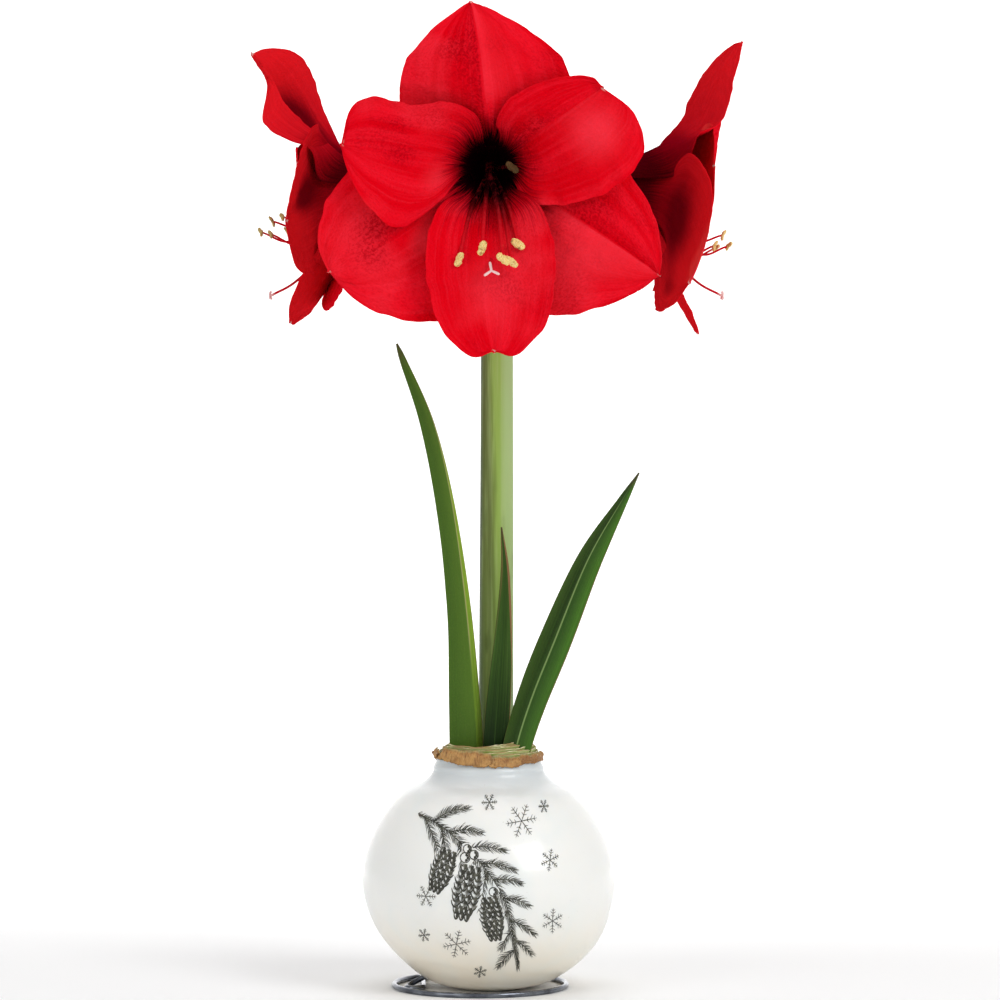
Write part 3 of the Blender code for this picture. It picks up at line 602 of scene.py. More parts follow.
# Bulb: it fills the wax, and at the neck its cut scales stand as thin wavy rings round a low floor
bulb = {
    "gap": 0.0003, "neckFloor": 0.0922, "rimWall": 0.00062, "sides": 300,
    "rims": [(0.0208, 0.0938), (0.0201, 0.0949), (0.0193, 0.096), (0.0184, 0.097), (0.0174, 0.0979),
             (0.0162, 0.0985), (0.0149, 0.0984)],
    "wander": 0.0005, "rise": 0.0006,
    "skin": ((0.22, 0.3, 0.05), (0.42, 0.44, 0.17)), "cut": ((0.74, 0.66, 0.4), (0.36, 0.2, 0.075)),
    "skinLayers": [("fibre", 0.45, 0.7, 0.0, 0.35, (0.46, 0.42, 0.2)),
                   # painted shade: dark brown low down on the rims and on the floor between them
                   ("edge", 0.02, 0.15, 0.7, 0.0, (0.12, 0.07, 0.02))],
    "cutLayers": [("fibre", 0.5, 0.65, 0.0, 0.6, (0.22, 0.11, 0.035))],
}


def makeBulb():
    flesh = Finish("cutScales", Roughness=0.55, Subsurface_Weight=0.2, Subsurface_Radius=(0.8, 0.9, 0.4),
                   Subsurface_Scale=0.002)
    edge = flesh.mark("side")
    patch = flesh.noise(flesh.place((1.0, 1.0, 4.0)), 130.0, 3.0)
    fibre = flesh.noise(flesh.place((1.0, 1.0, 3.0)), 900.0, 3.0)
    sources = {"fibre": fibre, "edge": edge}
    skin = flesh.layers(flesh.mix(flesh.band(patch, 0.4, 0.6), *bulb["skin"]), sources, bulb["skinLayers"])
    cut = flesh.layers(flesh.mix(flesh.band(patch, 0.42, 0.56), *bulb["cut"]), sources, bulb["cutLayers"])
    flesh.set(Base_Color=flesh.layers(skin, sources, [("edge", 0.6, 0.95, 0.0, 0.95, cut)]),
              Normal=flesh.relief(fibre, 0.0002, 0.7))
    _, inner = waxProfiles(60)
    along = unit(np.gradient(inner, axis=0))
    body = inner + np.stack([-along[:, 1], along[:, 0]], axis=1) * bulb["gap"]
    angle = circle(bulb["sides"])
    x, y = np.cos(angle), np.sin(angle)
    flat = np.ones_like(angle)
    rows = [(r * flat, z * flat, 0.0) for r, z in body[:-1]]
    for number, (radius, top) in enumerate(bulb["rims"]):
        seed = 3.1 * number
        swing = 1.0 + 0.01 * softNoise(2 * x + seed, 2 * y, 11) + 0.005 * softNoise(9 * x, 9 * y + seed, 12)
        wander = (softNoise(1.6 * x + seed, 1.6 * y, 13) + 0.35 * softNoise(6 * x, 6 * y + seed, 14)
                  + 0.14 * softNoise(26 * x, 26 * y + seed, 16))
        height = top + bulb["rise"] * (x + 0.4 * y) * (0.4 + 0.2 * number) + bulb["wander"] * wander
        low = bulb["neckFloor"] * flat
        wall = bulb["rimWall"] * (1.0 + 0.35 * softNoise(5 * x, 5 * y + seed, 15))
        outside, inside = radius * swing, radius * swing - wall
        # radius, height, and how near the cut edge it is
        rows += [(outside - 0.0002, low, 0.0), (outside - 0.0001, height - 0.0012, 0.1),
                 (outside, height - 0.0005, 0.5),
                 (outside + 0.0001, height - 0.0002, 0.9), (outside * 0.8 + inside * 0.2, height, 1.0),
                 (outside * 0.3 + inside * 0.7, height - 0.0001, 1.0), (inside, height - 0.0004, 0.8),
                 (inside - 0.0001, (low + height) / 2, 0.2), (inside - 0.0002, low, 0.0)]
    rows.append((0.005 * flat, bulb["neckFloor"] * flat, 0.0))
    radius, height, marks = zip(*rows)
    shape = gridShape(turnedPoints(np.array(radius), np.array(height)))
    shape["side"][:-2] = np.repeat(marks, bulb["sides"])  # all but the two poles
    makePiece("bulbNeck", shape, flesh.material, ["bulb"], 75)


makeBulb()


# Tunic: thin torn papery layers round the neck, each a strip that may curl off at its ends
tunic = {
    "wall": 0.0003, "rows": 24, "columns": 90,
    # from and to in degrees, foot and crown height, radius, how far its start and its end curl off
    "strips": [(-178, 182, 0.0907, 0.0932, 0.0212, 0.0, 0.0), (-150, -87, 0.0906, 0.0963, 0.0216, 0.1, 0.5),
               (-108, -80, 0.0902, 0.0942, 0.0214, 0.2, 0.4), (-90, -53, 0.0902, 0.094, 0.0215, 0.2, 0.3),
               (-58, 4, 0.0909, 0.0943, 0.0212, 0.2, 0.2), (-190, -158, 0.0912, 0.095, 0.0213, 0.7, 0.3),
               (20, 66, 0.0907, 0.0944, 0.0214, 0.3, 0.4), (84, 150, 0.0905, 0.095, 0.0214, 0.5, 0.3)],
    "paper": ((0.26, 0.105, 0.022), (0.5, 0.265, 0.075)),
    "layers": [("fibre", 0.5, 0.75, 0.0, 0.6, (0.62, 0.4, 0.16)),
               ("fibre", 0.47, 0.3, 0.0, 0.85, (0.13, 0.05, 0.012)),
               ("edge", 0.7, 1.0, 0.0, 0.6, (0.13, 0.055, 0.018)),
               ("up", 0.8, 0.98, 0.0, 0.45, (0.42, 0.4, 0.16))],
}


def makeTunic():
    paper = Finish("dryTunic", Roughness=0.58, Subsurface_Weight=0.12, Subsurface_Radius=(0.9, 0.5, 0.2),
                   Subsurface_Scale=0.001)
    fibre = paper.noise(paper.grain(2.5, 70.0), 1.0, 4.0, 0.6, 0.5)
    stain = paper.noise(paper.place(), 190.0, 4.0, 0.6, 0.5)
    sources = {"fibre": fibre, "edge": paper.mark("side"), "up": paper.axis(paper.uv(), 0)}
    tone = paper.mix(paper.band(stain, 0.36, 0.64), *tunic["paper"])
    tone = paper.layers(tone, sources, tunic["layers"])
    paper.set(Base_Color=tone, Normal=paper.relief(fibre, 0.0003, 0.8))
    shapes = []
    for number, (start, end, foot, crown, radius, first, last) in enumerate(tunic["strips"]):
        whole = end - start >= 360
        columns = tunic["columns"] * (4 if whole else 1)
        s, t = np.meshgrid(np.linspace(0, 1, tunic["rows"]), np.linspace(0, 1, columns), indexing="ij")
        turn = np.radians(start + (end - start) * t)
        x, y = np.cos(turn), np.sin(turn)
        corner = 0.0 * t if whole else ease(t, 0.86, 1.0) ** 2 + ease(-t, -0.14, 0.0) ** 2
        tear = 0.0007 * softNoise(7 * x + number, 7 * y, 31) + 0.0004 * softNoise(24 * x, 24 * y + number, 32)
        tear = tear + 0.00018 * softNoise(80 * x + number, 80 * y, 33)
        slope = 0.0014 * x * x - 0.0005 * x  # it climbs at both sides, most at the left
        low = foot + slope + 0.8 * tear + 0.0009 * corner
        high = crown + 0.6 * slope + 0.5 * tear + 0.0003 * softNoise(40 * x, 40 * y, 34) - 0.0012 * corner
        loose = first * ease(-t, -0.18, 0.0) + last * ease(t, 0.82, 1.0)
        bulge = 0.0014 * loose * (0.4 + np.sin(math.pi * s)) + 0.0003 * np.sin(math.pi * s)
        crease = (0.00016 * softNoise(9 * x + 3 * s, 9 * y + number, 35)
                  + 0.00006 * softNoise(38 * x + 5 * s, 38 * y + 4 * s, 36)
                  + 0.00016 * softNoise(7 * s + 5 * x, 14 * y + number, 37))
        flare = 0.0005 * ease(-s, -0.45, 0.0) - 0.0008 * ease(s, 0.5, 1.0)
        radius = radius + bulge + crease + flare
        grid = np.stack([radius * x, radius * y, low + (high - low) * s], axis=-1)
        uv = np.stack([s, t * (end - start) / 60.0], axis=-1)
        shape = bladeShape(grid[:, ::-1], np.full(s.shape, tunic["wall"]), uv[:, ::-1])
        rim = np.maximum(np.abs(2 * s - 1) ** 3, 0.0 if whole else np.abs(2 * t - 1) ** 8)
        shape["side"] = np.tile(rim[:, ::-1].ravel(), 2)
        shape["lot"][:] = number
        shapes.append(shape)
    makePiece("tunicCollar", joined(shapes), paper.material, ["tunic"], 70)


makeTunic()


# Leaves: straps folded along a keel that faces the front, thick at the keel, with thin margins
# near and beside colour the face left of the keel, inner and far the face right of it; the two faces are
# painted lighter and darker, as the lit and shaded faces of the fold
leaves = {
    "leafLeft": {
        "node": "leaf_left", "keel": (-0.55, -0.95), "fold": 0.0016, "face": (0.25, -1.0, 0.0),
        "line": [(-0.0084, -0.001, 0.0783), (-0.0086, -0.001, 0.096), (-0.0094, -0.0012, 0.1146),
                 (-0.0119, -0.0016, 0.1546), (-0.0174, -0.002, 0.1946), (-0.0247, -0.001, 0.2266),
                 (-0.0339, 0.001, 0.2506), (-0.0366, 0.0016, 0.2575)],
        "half": [0.0054, 0.0064, 0.006, 0.0045, 0.0035, 0.0026, 0.0013, 0.0003],
        "near": (0.052, 0.11, 0.014), "beside": (0.086, 0.165, 0.02), "inner": (0.27, 0.42, 0.04),
        "far": (0.24, 0.4, 0.036), "rib": (0.34, 0.33, 0.13), "ribFrom": 0.25, "foot": (0.06, 0.13, 0.014),
        "shade": 0.2, "rim": 0.0},
    "leafMiddle": {
        "node": "leaf_middle", "keel": (0.1, -0.2), "fold": 0.0007, "face": (0.0, -1.0, 0.0),
        "line": [(0.0028, -0.0062, 0.0783), (0.0028, -0.0062, 0.096), (0.0044, -0.0062, 0.1202),
                 (0.0059, -0.0058, 0.1418), (0.0066, -0.005, 0.1662), (0.0052, -0.0046, 0.1846)],
        "half": [0.0046, 0.0051, 0.0046, 0.0034, 0.0018, 0.0003],
        "near": (0.055, 0.12, 0.018), "beside": (0.035, 0.082, 0.012), "inner": (0.03, 0.07, 0.01),
        "far": (0.055, 0.11, 0.02), "rib": (0.026, 0.06, 0.01), "ribFrom": 0.0,
        "foot": (0.006, 0.018, 0.003), "shade": 0.95, "rim": 0.25},
    "leafRight": {
        "node": "leaf_right", "keel": (-0.05, 0.1), "fold": 0.002, "face": (-0.2, -1.0, 0.0),
        "line": [(0.0088, -0.011, 0.0783), (0.0107, -0.0104, 0.095), (0.0166, -0.007, 0.1146),
                 (0.0262, -0.003, 0.1386), (0.0398, -0.002, 0.1706), (0.0532, -0.003, 0.1946),
                 (0.0599, -0.0034, 0.2062)],
        "half": [0.0048, 0.0056, 0.0062, 0.0066, 0.0051, 0.0021, 0.0003],
        "near": (0.05, 0.098, 0.016), "beside": (0.016, 0.036, 0.008), "inner": (0.024, 0.066, 0.01),
        "far": (0.062, 0.17, 0.018), "rib": (0.2, 0.3, 0.1), "ribFrom": 0.0, "foot": (0.036, 0.085, 0.014),
        "shade": 0.2, "rim": 0.0},
}
leafDetail = {"rows": 220, "columns": 49, "margin": (0.24, 0.12, 0.055), "tip": (0.085, 0.06, 0.028),
              "wave": 0.0003, "edgeWall": 0.0006, "keelWall": 0.0014}


def leafFinish(name, leaf):
    green = Finish(name + "Green", Roughness=0.38, Specular_IOR_Level=0.09, Subsurface_Weight=0.06,
                   Subsurface_Radius=(0.3, 0.8, 0.1), Subsurface_Scale=0.001)
    surface = green.uv()
    u, v = green.axis(surface, 0), green.axis(surface, 1)
    away = green.mark("side")  # distance from the keel, above 0 to the right of it
    ribs = green.noise(green.grain(1.4, 46.0), 1.0, 2.0)
    cells = green.noise(green.grain(300.0, 40.0), 1.0, 3.0)
    cloud = green.noise(green.grain(7.0, 1.6), 1.0, 3.0)
    # painted light and shade: each face of the fold has its own greens, lighter where light falls on it and
    # darker where it is shaded
    left = green.mix(green.band(away, -1.2, -0.1), leaf["near"], leaf["beside"])
    right = green.mix(green.band(away, 0.05, 0.9), leaf["inner"], leaf["far"])
    tone = green.layers(green.mix(green.band(away, -0.02, 0.02), left, right), {
        "cloud": cloud, "ribs": ribs, "cells": cells, "u": u}, [
        ("cloud", 0.3, 0.75, 0.0, 0.25, leaf["near"]), ("ribs", 0.42, 0.62, 0.0, 0.5, leaf["foot"]),
        ("cells", 0.45, 0.8, 0.0, 0.18, leaf["far"]), ("u", 0.62, 0.12, 0.0, leaf["shade"], leaf["foot"])])
    # a line along the keel's crest: a painted highlight on the left leaf, the pale midrib on the right leaf,
    # and a dark line on the middle leaf
    midrib = green.product(green.band(green.sum("ABSOLUTE", away, 0.0), 0.04, 0.012, 0.0, 0.85),
                           green.band(u, leaf["ribFrom"], leaf["ribFrom"] + 0.12), green.band(u, 0.99, 0.8))
    tone = green.mix(midrib, tone, leaf["rib"])
    rim = green.sum("ADD", green.sum("ABSOLUTE", green.sum("SUBTRACT", v, 0.5), 0.0),
                    green.band(u, 0.45, 0.95, 0.0, leaf["rim"]))
    rim = green.product(green.band(rim, 0.465, 0.492),
                        green.band(green.sum("SUBTRACT", u, v), -0.3, 0.6, 0.15, 0.95))
    tone = green.mix(rim, tone, leafDetail["margin"])
    green.set(Base_Color=green.mix(green.band(u, 0.93, 1.0, 0.0, 0.8), tone, leafDetail["tip"]),
              Normal=green.relief(ribs, 0.0004, 0.45))
    return green.material


def makeLeaves():
    rows, columns = leafDetail["rows"], leafDetail["columns"]
    for number, (name, leaf) in enumerate(leaves.items()):
        even = smoothCurve(np.column_stack([leaf["line"], leaf["half"]]), rows)
        spine, half = even[:, :3], even[:, 3:]
        along = unit(np.gradient(spine, axis=0))
        across = unit(np.cross(np.array(leaf["face"]), along))
        outward = np.cross(along, across)
        share, v = np.meshgrid(np.linspace(0.0, 1.0, rows), np.linspace(-1.0, 1.0, columns), indexing="ij")
        away = leaf["keel"][0] + (leaf["keel"][1] - leaf["keel"][0]) * ease(share, 0.4, 0.9) - v
        crest = np.sqrt(away ** 2 + 0.003)  # distance from the keel, rounded where it turns
        slim = np.clip(half / half.max(), 0.12, 1.0)
        wave = leafDetail["wave"] * softNoise(9 * share + number, 2 * v, 41) * v ** 2
        rise = slim * leaf["fold"] * (0.55 - crest) * 1.6 + wave
        grid = spine[:, None] + across[:, None] * (half * v)[..., None] + outward[:, None] * rise[..., None]
        wall = leafDetail["edgeWall"] + leafDetail["keelWall"] * np.exp(-(crest / 0.42) ** 2)
        wall = wall * (1.0 - 0.45 * share) * np.sqrt(slim)
        shape = bladeShape(grid, wall, np.stack([share, (v + 1) / 2], axis=-1))
        shape["lot"][:] = number
        shape["side"] = np.tile(away.ravel(), 2)
        makePiece(name, shape, leafFinish(name, leaf), [leaf["node"]])


makeLeaves()


# Blooms. Six tepals spring from a tube; each is worked out from its angles to the bloom's axis:
# funnel, then flare, then a curl at the tip. Azimuths are seen by one who looks into the mouth.
plainTepal = {
    "funnel": 17, "flare": 84, "opens": 0.018, "open": 0.072, "curl": 5, "root": 0.0048, "cup": -5.0,
    "wave": 0.0016, "phase": 0.0, "twist": 0, "sweep": 0, "skew": 0.0, "share": 0.95, "relax": (0.12, 0.5),
    "close": 0.5, "shoulder": 0.0, "fold": 0.0, "groove": 0.0014, "notch": 0.0, "calm": 1.0, "lean": 0.0,
    "rootSkew": None, "turning": (0.3, 0.62), "ridgeShade": 0.0, "spread": 0.0,
    "pinch": (1, 0.0, 0.5, 0.8),  # which flank, how much, from, to
    # the valley also paints shade along its far side
    "valley": (0.0, 0.1, 0.4),  # depth, width on either side
    "bulges": [],  # along, which flank, size, amount
    # patches are painted shade, and painted light where the amount is below 0; some of them stand for darker
    # mottling
    "patches": [],  # darker, or lighter below 0: along, across, size along, size across, amount
}
innerTepal = {"root": 0.0034, "cup": 8.0, "opens": 0.022, "open": 0.078, "share": 0.84, "relax": (0.28, 0.8)}
backOuter = {"flare": 92, "opens": 0.016, "open": 0.061}
backInner = {**innerTepal, "flare": 92, "opens": 0.02, "open": 0.067}
blooms = {
    "bloomFront": {
        "node": "bloom_front", "foot": (0.001, -0.026, 0.3275), "axis": (-0.02, -1.0, -0.03), "calm": 1.0,
        "drop": 0.033, "dip": 0.0392, "short": 0.0, "sag": 0.5, "pollen": 1.0, "pollenShade": 0.0, "tepals": [
        dict(azimuth=90, length=0.0885, half=0.0318, curl=30, sweep=6, close=0.85, groove=-0.0032,
             ridgeShade=0.75,
             patches=[(0.8, 0.35, 0.1, 0.3, 0.7), (0.6, 0.55, 0.12, 0.2, -0.5), (0.36, 0.0, 0.14, 0.6, 1.2)]),
        dict(azimuth=213, length=0.0975, half=0.033, skew=0.17, close=0.63, phase=0.3,
             patches=[(0.72, -0.15, 0.12, 0.25, 0.9), (0.6, 0.25, 0.1, 0.2, -0.6),
                      (0.82, 0.15, 0.08, 0.2, 0.6)]),
        dict(azimuth=330, length=0.102, half=0.0325, skew=-0.17, sweep=-2, close=0.85, phase=0.6,
             groove=0.003, ridgeShade=0.8,
             patches=[(0.66, 0.45, 0.1, 0.3, 0.5), (0.72, -0.35, 0.14, 0.25, -0.4)]),
        dict(innerTepal, azimuth=171, length=0.086, half=0.0236, skew=0.2, shoulder=-0.6, phase=0.1,
             rootSkew=-0.35, turning=(0.45, 0.75), lean=-0.45, bulges=[(0.44, 1, 0.17, 0.4)],
             patches=[(0.72, 0.0, 0.1, 0.22, 0.8), (0.78, -0.5, 0.12, 0.2, 0.6),
                      (0.52, 0.3, 0.1, 0.25, -0.6)]),
        dict(innerTepal, azimuth=35, length=0.0825, half=0.024, skew=-0.34, shoulder=-0.42, spread=0.055,
             phase=0.8, rootSkew=-0.55, lean=-0.3, groove=0.003, ridgeShade=0.45,
             patches=[(0.6, 0.1, 0.12, 0.3, 0.5), (0.82, -0.45, 0.1, 0.3, -0.7),
                      (0.42, -0.1, 0.12, 0.6, 1.1)]),
        dict(innerTepal, azimuth=272, length=0.1028, half=0.0236, curl=2, close=0.58, phase=0.4,
             notch=0.03,
             patches=[(0.75, 0.0, 0.18, 0.45, -0.6), (0.93, -0.5, 0.06, 0.3, 0.5),
                      (0.4, 0.0, 0.12, 0.3, 1.3)])]},
    "bloomLeft": {
        "node": "bloom_left", "foot": (-0.034, 0.01, 0.3195), "axis": (-1.0, 0.12, -0.05), "calm": 0.08,
        "drop": 0.013, "dip": 0.0405, "short": 0.006, "sag": 1.25, "pollen": 0.62, "pollenShade": 0.6, "tepals": [
        dict(azimuth=80, length=0.0795, half=0.0262, flare=50, opens=0.002, open=0.036, skew=-0.15,
             twist=-36, close=0.9, shoulder=0.48, fold=0.004, pinch=(-1, 0.92, 0.7, 0.87),
             valley=(0.009, 0.14, 0.4)),
        dict(backOuter, azimuth=252, length=0.0555, half=0.042, flare=59, opens=0.004, open=0.03,
             phase=0.2),
        dict(backOuter, azimuth=349, length=0.077, half=0.027, flare=79, open=0.045, skew=0.11,
             shoulder=-0.3, close=0.66, phase=0.5, pinch=(1, 0.5, 0.45, 0.98),
             patches=[(0.7, 0.25, 0.16, 0.3, 1.0), (0.45, 0.2, 0.2, 0.5, 0.6)]),
        dict(backInner, azimuth=150, length=0.074, half=0.025, phase=0.7),
        dict(backInner, azimuth=14, length=0.066, half=0.018, flare=94, open=0.055, phase=0.1, ridgeShade=0.5,
             pinch=(1, 0.45, 0.45, 0.8)),
        dict(innerTepal, azimuth=294, length=0.071, half=0.015, flare=54, opens=0.0, open=0.02, phase=0.9,
             pinch=(-1, 0.4, 0.8, 0.98))]},
    "bloomRight": {
        "node": "bloom_right", "foot": (0.04, 0.01, 0.319), "axis": (1.0, 0.12, -0.05), "calm": 0.08,
        "drop": 0.018, "dip": 0.04, "short": 0.005, "sag": 1.15, "pollen": 0.62, "pollenShade": 0.15, "tepals": [
        dict(azimuth=94, length=0.0865, half=0.0185, funnel=26, flare=70, opens=0.037, open=0.055,
             curl=-14, twist=18, close=0.9, skew=-0.12, lean=0.5, share=1.2, bulges=[(0.5, 1, 0.2, 2.0)],
             pinch=(-1, 0.2, 0.62, 0.84), patches=[(0.4, 0.0, 0.14, 2.0, 0.8)]),
        dict(backOuter, azimuth=214, length=0.079, half=0.0325, flare=84, open=0.044, skew=-0.2,
             rootSkew=0.35, close=0.55, twist=-17, phase=0.4,
             patches=[(0.55, -0.2, 0.22, 0.6, 1.1), (1.0, -0.6, 0.08, 0.5, -1.8),
                      (0.8, 0.5, 0.12, 0.2, 0.5)]),
        dict(backOuter, azimuth=328, length=0.078, half=0.026, flare=95, phase=0.1),
        dict(backInner, azimuth=168, length=0.073, half=0.0205, flare=81, open=0.055, lean=-0.5,
             rootSkew=-0.6, share=1.1, phase=0.8, patches=[(0.68, -0.6, 0.2, 0.6, -1.0)]),
        dict(innerTepal, azimuth=30, length=0.074, half=0.024, flare=72, phase=0.3),
        dict(innerTepal, azimuth=268, length=0.073, half=0.015, flare=57, opens=0.006, open=0.03,
             phase=0.6, pinch=(-1, 0.5, 0.6, 0.8))]},
}
bloomDetail = {
    "rows": 110, "columns": 61, "nib": 0.01, "scallop": 0.012, "ruffle": 0.001, "crinkle": 0.00022,
    "wall": 0.0007, "margin": 0.0003, "seat": 0.0015, "tubeEnd": 0.013, "tubeWall": 0.003, "tornEdge": 0.024,
    "clawHalf": 0.0052, "nibHalf": 0.0011,
}
stamens = {
    # right and down of the drop, how far out, and the tilt as seen by one who looks into the mouth
    "anthers": [(-0.011, -0.002, 0.055, 66), (-0.002, 0.0025, 0.06, 68), (0.006, -0.0017, 0.064, 136),
                (0.009, -0.0028, 0.059, 140), (0.0115, 0.0038, 0.053, 146), (0.009, 0.0, 0.036, 140)],
    "inThroat": 5, "root": 0.0016, "filament": (0.0012, 0.00066), "halfLength": 0.0031, "radius": 0.00108,
    "style": (0.0006, 0.0005), "stigma": (100, 215, 335), "lobeLength": 0.0036, "lobeRadius": 0.00046,
    "dark": (0.004, 0.0, 0.0006), "thread": (0.56, 0.003, 0.01), "fleck": (0.55, 0.03, 0.04),
    "styleRed": (0.56, 0.006, 0.016), "stigmaPale": (0.86, 0.6, 0.58),
    "dust": ((0.78, 0.5, 0.13), (0.97, 0.8, 0.36)), "lump": (0.34, 0.15, 0.04), "pollenShade": (0.07, 0.035, 0.01),
}


def midribOf(tepal, u):  # radius, depth and angle along the middle line, by adding up its small steps
    fine = np.linspace(0.0, 1.16, 233)
    flared = ease(fine * tepal["length"], tepal["opens"], tepal["open"])
    angle = np.radians(tepal["funnel"] + (tepal["flare"] - tepal["funnel"]) * flared
                       + tepal["curl"] * ease(fine, 0.72, 1.0))
    step = tepal["length"] * (fine[1] - fine[0])
    radius = tepal["root"] + np.concatenate([[0.0], np.cumsum(np.sin(angle[:-1]) * step)])
    depth = np.concatenate([[0.0], np.cumsum(np.cos(angle[:-1]) * step)])
    return np.interp(u, fine, radius), np.interp(u, fine, depth), np.interp(u, fine, angle)


def halfWidthOf(tepal, u, v):  # narrow in the funnel, widest past the middle, round at the tip, a small nib
    swell, close = 1.2, tepal["close"] * (1.0 - tepal["shoulder"] * v / np.sqrt(v * v + 0.03))
    peak = swell / (swell + close)
    blade = np.clip(u * (1.0 + bloomDetail["nib"]), 0.0, 1.0)
    wide = blade ** swell * (1.0 - blade) ** close / (peak ** swell * (1.0 - peak) ** close)
    claw, nib = bloomDetail["clawHalf"] * (1.0 - blade) ** 2, 1.0 - 0.7 * ease(u, 0.985, 1.0)
    return claw + tepal["half"] * wide + bloomDetail["nibHalf"] * nib


def hill(value, size):  # 1 at 0, falling off on both sides
    return np.exp(-(value / size) ** 2)


def tepalShape(tepal, seed):  # sections bowed round the axis in the funnel, nearly flat in the flare, ruffled
    tepal = {**plainTepal, **tepal}
    rows, columns = bloomDetail["rows"], bloomDetail["columns"]
    share = 1.0 - (1.0 - np.linspace(0.0, 1.0, rows)) ** 1.35
    u, v = np.meshgrid(share, np.sin(np.linspace(-1.0, 1.0, columns) * 1.25) / math.sin(1.25), indexing="ij")
    full, edge, flanks = ease(u, 0.25, 0.6), np.abs(v), np.sign(v)
    torn = (bloomDetail["tornEdge"] * softNoise(8 * u + seed, 4 * flanks, 51)
            + (0.014 + 0.022 * ease(u, 0.78, 0.9)) * softNoise(26 * u + seed, 4 * flanks, 52))
    skew = tepal["skew"]
    if tepal["rootSkew"] is not None:
        skew = tepal["rootSkew"] + (skew - tepal["rootSkew"]) * ease(u, *tepal["turning"])
    wish = halfWidthOf(tepal, u, v) * (1.0 + skew * v) * (1.0 + full * tepal["calm"] * torn)
    flank, amount, start, end = tepal["pinch"]
    wish = wish * (1.0 - amount * ease(u, start, end) * ease(v * flank, 0.0, 0.05))
    for atU, flank, size, amount in tepal["bulges"]:
        wish = wish * (1.0 + amount * hill(u - atU, size) * ease(v * flank, 0.0, 0.05))
    scallop = softNoise(5 * v + seed, 0 * v, 56) + 0.5 * softNoise(13 * v, 0 * v + seed, 57)
    scallop = bloomDetail["scallop"] * (scallop - scallop[:, columns // 2][:, None]) * ease(-u, -1.0, -0.96)
    scallop = scallop - tepal["notch"] * hill(v * wish, 0.0045)
    scallop = scallop + tepal["spread"] * (v < 0) * (1.0 - hill(v * wish, 0.008))
    radius, depth, angle = midribOf(tepal, u * (1.0 + scallop * ease(u, 0.6, 0.96)))
    flat = ease(u, *tepal["relax"])
    bow = (1.0 - flat) / np.maximum(radius, 0.004) + flat * tepal["cup"]
    bow = np.where(np.abs(bow) < 0.001, 0.001, bow)
    room = tepal["share"] * (1.0 + tepal["lean"] * v) * math.pi / 3 * radius * (1.0 + 1.6 * flat)
    reach = v * (wish ** -8 + room ** -8) ** -0.125
    across, lift = np.sin(bow * reach) / bow, (1.0 - np.cos(bow * reach)) / bow
    swing = np.sin(2 * math.pi * (2.2 * u + tepal["phase"] + 0.25 * flanks))
    lift = lift + full * tepal["calm"] * tepal["wave"] * edge ** 2.5 * swing
    ruffle = bloomDetail["ruffle"] * edge ** 4 * softNoise(22 * u + seed, 5 * flanks, 53)
    crinkle = softNoise(30 * u + seed, 9 * v, 54) + 0.5 * softNoise(70 * u, 22 * v + seed, 55)
    lift = lift + full * (tepal["calm"] ** 0.5 * ruffle + bloomDetail["crinkle"] * crinkle)
    crease = tepal["groove"] * np.exp(-edge / 0.16) - tepal["fold"] * edge
    lift = lift - crease * full * np.clip(1.0 - u, 0, 1) ** 0.3
    deep, near, far = tepal["valley"]  # a deep fold along the midrib, with its own width on either side
    lift = lift + deep * hill(v, np.where(v < 0, near, far)) * ease(u, 0.2, 0.5) * ease(-u, -0.98, -0.7)
    twist = math.radians(tepal["twist"]) * ease(u, 0.35, 0.95)
    side, out = np.moveaxis(turned(np.stack([across, lift], axis=-1), twist), -1, 0)
    azimuth = math.radians(tepal["azimuth"]) + math.radians(tepal["sweep"]) * u * u
    radial, axial = radius - out * np.cos(angle), depth + out * np.sin(angle)
    grid = np.dstack([turned(np.stack([radial, side], axis=-1), azimuth), axial])
    wall = bloomDetail["margin"] + (bloomDetail["wall"] - bloomDetail["margin"]) * (1 - edge ** 3)
    shape = bladeShape(grid, wall, np.stack([u, (v + 1) / 2], axis=-1))
    shape["lot"][:] = seed
    # painted shade on one side of the midrib and painted light on the other, as on a fold lit from one side
    shade = tepal["ridgeShade"] * np.where(v > 0, np.exp(-v / 0.28), -0.8 * np.exp(v / 0.4)) * ease(u, 0.42, 0.62)
    # painted shade in the fold, on the valley's far side, fading toward the tip
    shade = shade + (deep > 0) * np.where(v < 0, 0.0, 2.2 * hill(v, far)) * ease(-u, -0.9, -0.5)
    for atU, atV, sizeU, sizeV, amount in tepal["patches"]:
        shade = shade + amount * hill(u - atU, sizeU) * hill(v - atV, sizeV)
    shape["shade"] = np.tile(shade.ravel(), 2)
    return shape


def tubeShape():  # the tube behind the tepals: solid at its foot, six soft lobes, thinner toward the mouth
    slope = math.tan(math.radians(plainTepal["funnel"]))
    middle = (plainTepal["root"] + innerTepal["root"]) / 2
    half, end, seat = bloomDetail["tubeWall"] / 2, bloomDetail["tubeEnd"], bloomDetail["seat"]
    outline = [(middle + half * 0.5, -seat), (middle + half * 0.95, 0.0008),
               (middle + 0.005 * slope + half, 0.005),
               (middle + end * slope + half * 0.55, end), (middle + end * slope, end + 0.0012),
               (middle + end * slope - half * 0.4, end), (middle + 0.004 * slope - half, 0.004)]
    outline = smoothCurve(outline, 44)
    angle = circle(96)
    lobes = 1.0 + 0.05 * np.cos(6 * angle)[None, :]
    radius, height = outline[:, 0][:, None] * lobes, outline[:, 1][:, None] + 0 * lobes
    points = np.stack([radius * np.cos(angle), radius * np.sin(angle), height], axis=-1)
    uv = np.stack(np.broadcast_arrays(height / 0.09, (angle / (2 * math.pi))[None, :]), axis=-1)
    shape = gridShape(points, uv)
    shape["side"][:] = 1.0
    shape["side"][-len(angle) * 20 - 2:] = 0.0  # the inside of the tube
    return shape


def pointing(degrees, out):
    return unit(np.array([math.cos(math.radians(degrees)), math.sin(math.radians(degrees)), out]))


